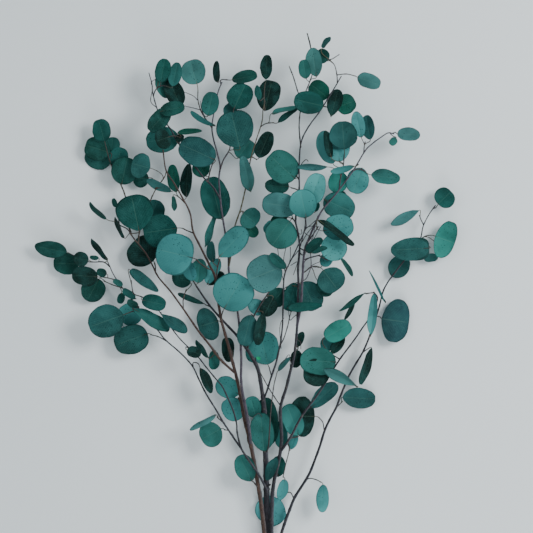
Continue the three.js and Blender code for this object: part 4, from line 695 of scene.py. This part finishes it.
def blade_surface(plan, draw):
    """One blade as it grew. spot gives its corner at t of its length and s of its half width."""
    foot, along, across, face, length = blade_frame(plan)
    half = plan["width"] / 2
    size = (half + length / 2) / 2
    tone = tuple(c * draw.uniform(0.97, 1.03) for c in colour(TONES[plan["tone"]]))
    tone = dim(tone, draw.uniform(0.88, 1.06))
    seed = draw.uniform(0, 90)
    wave_height = draw.uniform(0.02, 0.08) * size
    wave_count = draw.choice((2, 3, 3, 4))
    wave_turn = draw.uniform(0, 2 * math.pi)
    curl = draw.uniform(-0.12, 0.08) * length
    if min(foot.z, foot.z + along.z * length) < NEAR_FLOOR:
        curl = abs(curl)
    point_out = draw.uniform(-0.02, 0.03) * length
    lean = draw.uniform(-0.05, 0.05)
    fullness = draw.uniform(0.76, 0.94) if half > ROUND_ONE * length else draw.uniform(0.9, 1.1)
    spread = math.log(0.5) / math.log(plan["belly"]) * draw.uniform(0.9, 1.1)
    neck = draw.uniform(0.0, 0.22)
    # Painted shade: each blade is darker towards one side, in a direction drawn at random.
    painted_shade_turn = draw.uniform(0, 2 * math.pi)
    painted_shade_depth = draw.uniform(0.1, 0.42)

    def spot(t, s, upper):
        arc = t ** spread
        outline = 2 * math.sqrt(max(0.0, arc * (1 - arc)))
        flank = OTHER_FLANK * (s > 0) + seed
        ragged = 1
        for depth, often, layer in RAGGED_RIM:
            ragged += depth * noise.noise(Vector((often * t, flank, layer)))
        v = half * outline ** fullness * s * ragged * min(1, (t / NECK) ** neck)
        v = max(-half, min(half, v))
        u = length * (t + lean * s * outline * math.sin(math.pi * t))
        end = max(0.0, t - TIP_FROM) / TIP
        u += point_out * end * end * math.exp(-(v / (TIP_WIDTH * half)) ** 2)
        u = max(0.0, min(length, u))
        x, y = 2 * t - 1, s * outline
        rounding = FOLD_ROUNDING * half
        rise = BLADE_FOLD * (math.hypot(v, rounding) - rounding)
        rise += wave_height * math.hypot(x, y) ** 3 * math.sin(wave_count * math.atan2(y, x) + wave_turn)
        rise += curl * (t - CURL_FROM) ** 2
        rise += BLADE_LUMP_DEPTH * size * noise.noise(Vector((u, v, seed)) * BLADE_LUMPS)
        groove = math.exp(-(v / GROOVE_WIDTH) ** 2)
        thick = BLADE_THICKNESS / 2 * (1 - RIM_THINNING * abs(s) ** RIM_POWER)
        if upper:
            lift = thick - GROOVE_ABOVE * groove * min(1, GROOVE_END * (1 - t))
        else:
            lift = -thick - GROOVE_UNDER * groove * (1 - t)
        # The painted shade darkens the blade's tone along this slope.
        painted_shade_slope = math.cos(painted_shade_turn) * x + math.sin(painted_shade_turn) * s * outline
        point = foot + along * u + across * v + face * (rise + lift)
        return point, dim(tone, 1 + painted_shade_depth * painted_shade_slope), (t, y, int(upper))

    return spot


def shares_along():
    """Shares from 0 to 1 that crowd towards both ends, without the ends themselves."""
    even = [i / STEPS_ALONG for i in range(1, STEPS_ALONG)]
    return [(1 - END_CROWDING) * t + END_CROWDING * (1 - math.cos(math.pi * t)) / 2 for t in even]


def blade(heap, plan, draw):
    """A round blade with two faces, a groove along its midrib, sides folded up and a waving, uneven rim."""
    spot = blade_surface(plan, draw)
    rims = []
    for upper in (True, False):
        rows = [[heap.corner(*spot(t, s, upper)) for s in ACROSS_SHARES] for t in shares_along()]
        ends = [heap.corner(*spot(t, 0, upper)) for t in (0, 1)]
        ordered = rows if upper else [row[::-1] for row in rows]
        heap.grid([row[::-1] for row in ordered])
        first, last = ordered[0], ordered[-1]
        for k in range(len(first) - 1):
            heap.face(first[k], first[k + 1], ends[0])
            heap.face(last[k + 1], last[k], ends[1])
        rims.append([ends[0], *[row[0] for row in rows], ends[1], *[row[-1] for row in rows[::-1]]])
    top, under = rims
    for k in range(len(top)):
        n = (k + 1) % len(top)
        heap.face(top[n], top[k], under[k], under[n])


def reckoner(operation):
    """A way to reckon with a number that is read off the surface and any other number."""
    return lambda first, *others: first.finish.node(
        "Math", {"operation": operation}, dict(enumerate((first, *others))))


class Reading:
    """A number or colour that a finish reads off the surface. Numbers can be reckoned with as usual."""

    def __init__(self, finish, socket):
        self.finish, self.socket = finish, socket

    __add__ = __radd__ = reckoner("ADD")
    __sub__ = reckoner("SUBTRACT")
    __mul__ = __rmul__ = reckoner("MULTIPLY")
    __pow__ = reckoner("POWER")
    __abs__ = reckoner("ABSOLUTE")

    def from_to(self, low, high):
        """0 below low, 1 above high and smooth in between; a falling edge where high is below low."""
        edge = {"Value": self, "From Min": min(low, high), "From Max": max(low, high),
                "To Min": 0.0 if low < high else 1.0, "To Max": 1.0 if low < high else 0.0}
        return self.finish.node("MapRange", {"interpolation_type": "SMOOTHSTEP"}, edge)


class Finish:
    """A finish under its maker's name. node adds any other node to it."""

    def __init__(self, name):
        self.material = bpy.data.materials.new(name)
        self.material.use_nodes = True
        self.tree = self.material.node_tree
        self.shader = next(node for node in self.tree.nodes if node.type == "BSDF_PRINCIPLED")

    def node(self, kind, settings=None, sockets=None, output=0):
        made = self.tree.nodes.new("ShaderNode" + kind)
        for name, value in (settings or {}).items():
            setattr(made, name, value)
        for name, value in (sockets or {}).items():
            self.feed(made.inputs[name], value)
        return Reading(self, made.outputs[output])

    def feed(self, socket, value):
        if isinstance(value, Reading):
            self.tree.links.new(value.socket, socket)
        else:
            socket.default_value = value

    def surface(self, **sockets):
        for name, value in sockets.items():
            self.feed(self.shader.inputs[name.replace("_", " ")], value)
        return self.material

    def mix(self, share, a, b):
        """Colour a where share is 0 and colour b where it is 1."""
        a, b = (tint if isinstance(tint, Reading) else (*tint, 1) for tint in (a, b))
        return self.node("Mix", {"data_type": "RGBA"}, {0: share, 6: a, 7: b}, output=2)

    def coats(self, base, *coats):
        """The base under coats of other colours, each given as how much of it there is and its colour."""
        for share, written in coats:
            base = self.mix(share, base, colour(written))
        return base

    def carried(self, name, output=0):
        settings = {"attribute_type": "GEOMETRY", "attribute_name": name}
        return self.node("Attribute", settings, output=output)

    def grain(self):
        """The three numbers of the grain that a piece carries."""
        parts = self.node("SeparateXYZ", None, {0: self.carried("grain", 1)})
        return [Reading(self, socket) for socket in parts.socket.node.outputs]

    def here(self):
        return self.node("TexCoord", output=3)

    def speckle(self, where, scale, detail=2.0, roughness=0.5):
        return self.node("TexNoise", None, {"Vector": where, "Scale": scale, "Detail": detail,
                                            "Roughness": roughness})

    def rings(self, number):
        """A number folded so that it rises to a half and falls to 0 again and again."""
        return self.node("Math", {"operation": "PINGPONG"}, {0: number, 1: 0.5})

    def bump(self, height, strength, distance):
        return self.node("Bump", None, {"Height": height, "Strength": strength, "Distance": distance})


def leaf_finish():
    """A preserved blade: dyed blue-green under a bloom, with fine veins, a dark rim and dark specks."""
    finish = Finish("preserved_leaf")
    here = finish.here()
    along, across, upper = finish.grain()
    aside = abs(across)
    cloud = finish.speckle(here, scale=60)
    grit = finish.speckle(here, scale=620, detail=3, roughness=0.6)
    wander = finish.speckle(here, scale=160)
    rungs = finish.rings((along - 0.6 * aside + 0.08 * wander) * 11 + 20)
    side_vein = rungs.from_to(0.075, 0.015) * aside.from_to(0.02, 0.06) * aside.from_to(1.0, 0.7)
    net = finish.node("TexVoronoi", {"feature": "DISTANCE_TO_EDGE"}, {"Vector": here, "Scale": 520})
    mesh_vein = net.from_to(0.10, 0.02)
    midrib = aside.from_to(0.035, 0.012) * along.from_to(1.0, 0.80)
    radial = (((along - 0.5) * 2) ** 2 + across ** 2) ** 0.5
    rim = (radial + 0.03 * wander).from_to(0.955, 0.995)
    cells = finish.node("TexVoronoi", {"feature": "F1"}, {"Vector": here, "Scale": 300, "Randomness": 1.0})
    lot = finish.speckle(here, scale=34, detail=1)
    speck = cells.from_to(0.24, 0.14) * lot.from_to(0.43, 0.53)
    # The carried tone of each blade already holds its painted shade as well as its own colour.
    painted = finish.coats(
        finish.carried("tone"), (cloud.from_to(0.42, 0.70) * 0.12, "4a8f8b"),
        (cloud.from_to(0.5, 0.3) * 0.22, "052422"), (grit.from_to(0.45, 0.75) * 0.06, "5fa39c"),
        (mesh_vein * 0.05, "63aaa1"), (side_vein * 0.11, "66aaa0"), (midrib * 0.11, "74a592"),
        (speck * 0.7, "061c1c"), (rim * 0.55, "0a2422"))
    painted = finish.mix(upper, finish.coats(painted, (0.22, "4d7c7a")), painted)
    relief = 0.6 * side_vein + 0.25 * mesh_vein + 0.25 * grit
    return finish.surface(Base_Color=painted, Roughness=0.58 + 0.2 * cloud, Specular_IOR_Level=0.09,
                          Normal=finish.bump(relief, strength=0.3, distance=0.00025))


def bark_finish():
    """Thin dry bark: its own colour, a painted highlight on one side, long dark streaks, flecks and a rough
    grain.
    """
    finish = Finish("dry_bark")
    here = finish.here()
    streaks = finish.speckle(finish.carried("grain", 1), scale=2.6, detail=4, roughness=0.6)
    grit = finish.speckle(here, scale=900, detail=3, roughness=0.6)
    fleck = finish.speckle(here, scale=330).from_to(0.62, 0.72)
    # Painted highlight: one side of each stem is paler, as if lit.
    painted_highlight_side = (finish.grain()[0] + 0.5 * streaks).from_to(0.35, 1.05)
    painted = finish.coats(
        finish.carried("tone"), (painted_highlight_side * 0.26, "848894"), (streaks.from_to(0.42, 0.62) * 0.65, "121016"),
        (grit.from_to(0.5, 0.8) * 0.22, "6f665e"), (fleck * 0.35, "80766a"))
    return finish.surface(Base_Color=painted, Roughness=0.80, Specular_IOR_Level=0.3,
                          Normal=finish.bump(streaks + 0.5 * grit, strength=0.5, distance=0.0003))


def cut_finish():
    """The sawn end of the stem: pale wood with rings and a dark pith."""
    finish = Finish("cut_wood")
    x, y, _ = finish.grain()
    radial = (x ** 2 + y ** 2) ** 0.5
    painted = finish.coats(
        colour(CUT_WOOD), (finish.rings(radial * 7).from_to(0.1, 0.45) * 0.5, "8a7250"),
        (radial.from_to(0.16, 0.06), "4c3b2a"), (radial.from_to(0.88, 0.96), "3a2f2a"))
    return finish.surface(Base_Color=painted, Roughness=0.85)


def floor_finish():
    """A plain pale floor, a little cloudy."""
    finish = Finish("pale_floor")
    cloud = finish.speckle(finish.here(), scale=3)
    painted = finish.mix(cloud, colour("e8f2f7"), colour("eff7fa"))
    return finish.surface(Base_Color=painted, Roughness=0.9)


def settle(heap, slot, node, *finishes):
    """A finished piece, riding on the branch and standing for its CAD node."""
    made = heap.piece(*finishes)
    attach(made, "root")
    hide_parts(node)


def grow_limb(order, plan, leaf_paint, bark_paint, cut_paint):
    """A limb and its sprigs. A twig that carries one leaf belongs to the limb's own pieces."""
    name = plan["name"]
    draw = random.Random(order + FIRST_SEED)
    bark = colour(BARKS[plan["bark"]])
    wood, single = Heap(f"{name}_wood"), Heap(f"{name}_single_leaves")
    sides = LIMB_SIDES[plan["stem"]["r0"] > STOUT_LIMB]
    stem(wood, plan["stem"], bark, order + LIMB_SEED, sides, LIMB_STEP, cut_start=name == CUT_LIMB)
    number = 0
    for growth in plan["sprigs"]:
        alone = len(growth["leaves"]) == 1
        if alone:
            twigs, blades = wood, single
        else:
            number += 1
            twigs, blades = Heap(f"{name}_twig_{number}"), Heap(f"{name}_leaves_{number}")
        grown = []
        for part in growth["twigs"]:
            shade = blend(bark, colour(draw.choice(TWIG_TONES)), TWIG_TINT)
            grown += stem(twigs, part, shade, draw.uniform(0, WIDEST_SEED), TWIG_SIDES, TWIG_STEP)
        for one in growth["leaves"]:
            stalk(twigs, one, grown, draw)
            blade(blades, one, draw)
        if not alone:
            settle(twigs, "bark", f"{name}_sprig_{number}", bark_paint, cut_paint)
            settle(blades, "leaf", f"{name}_sprig_{number}", leaf_paint)
    for row in BARE_TWIGS.get(name, ()):
        shade = blend(bark, colour(draw.choice(TWIG_TONES)), BARE_TWIG_TINT)
        stem(wood, twig(*row), shade, draw.uniform(0, WIDEST_SEED), BARE_TWIG_SIDES, TWIG_STEP)
    for row in BUDS.get(name, ()):
        blade(single, leaf(*row), draw)
    settle(wood, "bark", f"{name}_limb", bark_paint, cut_paint)
    if single.faces:
        settle(single, "leaf", f"{name}_limb", leaf_paint)


def grow_branch():
    finishes = leaf_finish(), bark_finish(), cut_finish()
    for order, plan in enumerate(BRANCH):
        grow_limb(order, plan, *finishes)


def lay_out():
    """The floor, a window to the upper right, two softer lights, and the camera looking straight down."""
    middle = place((PLAN_SIDE / 2, PLAN_SIDE / 2, 0))
    bpy.ops.mesh.primitive_plane_add(size=FLOOR_SIDE, location=(middle.x, middle.y, 0))
    floor = bpy.context.object
    floor.name = "floor"
    floor.data.materials.append(floor_finish())
    camera_data = bpy.data.cameras.new("camera")
    camera_data.lens, camera_data.sensor_width = LENS, SENSOR
    camera = bpy.data.objects.new("camera", camera_data)
    bpy.context.scene.collection.objects.link(camera)
    camera.location = (middle.x, middle.y, LEAF_LEVEL + VIEW_DISTANCE)
    bpy.context.scene.camera = camera
    for name, where, side, power, tint in (
            ("window_light", (1.5, 0.7, 1.6), 0.9, 36, (1, 0.99, 0.98)),
            ("low_light", (0.35, -1.0, 0.8), 0.8, 4.4, (1, 1, 1)),
            ("fill_light", (-1.6, 0.2, 2.0), 2.0, 9, (0.98, 0.99, 1))):
        light = bpy.data.lights.new(name, "AREA")
        light.size, light.energy, light.color = side, power, tint
        lamp = bpy.data.objects.new(name, light)
        bpy.context.scene.collection.objects.link(lamp)
        lamp.location = where
        lamp.rotation_euler = (-lamp.location).to_track_quat("-Z", "Y").to_euler()
    world = bpy.data.worlds.new("studio")
    world.use_nodes = True
    backdrop = world.node_tree.nodes["Background"]
    backdrop.inputs["Color"].default_value = SKY
    backdrop.inputs["Strength"].default_value = SKY_STRENGTH
    bpy.context.scene.world = world


lay_out()
grow_branch()
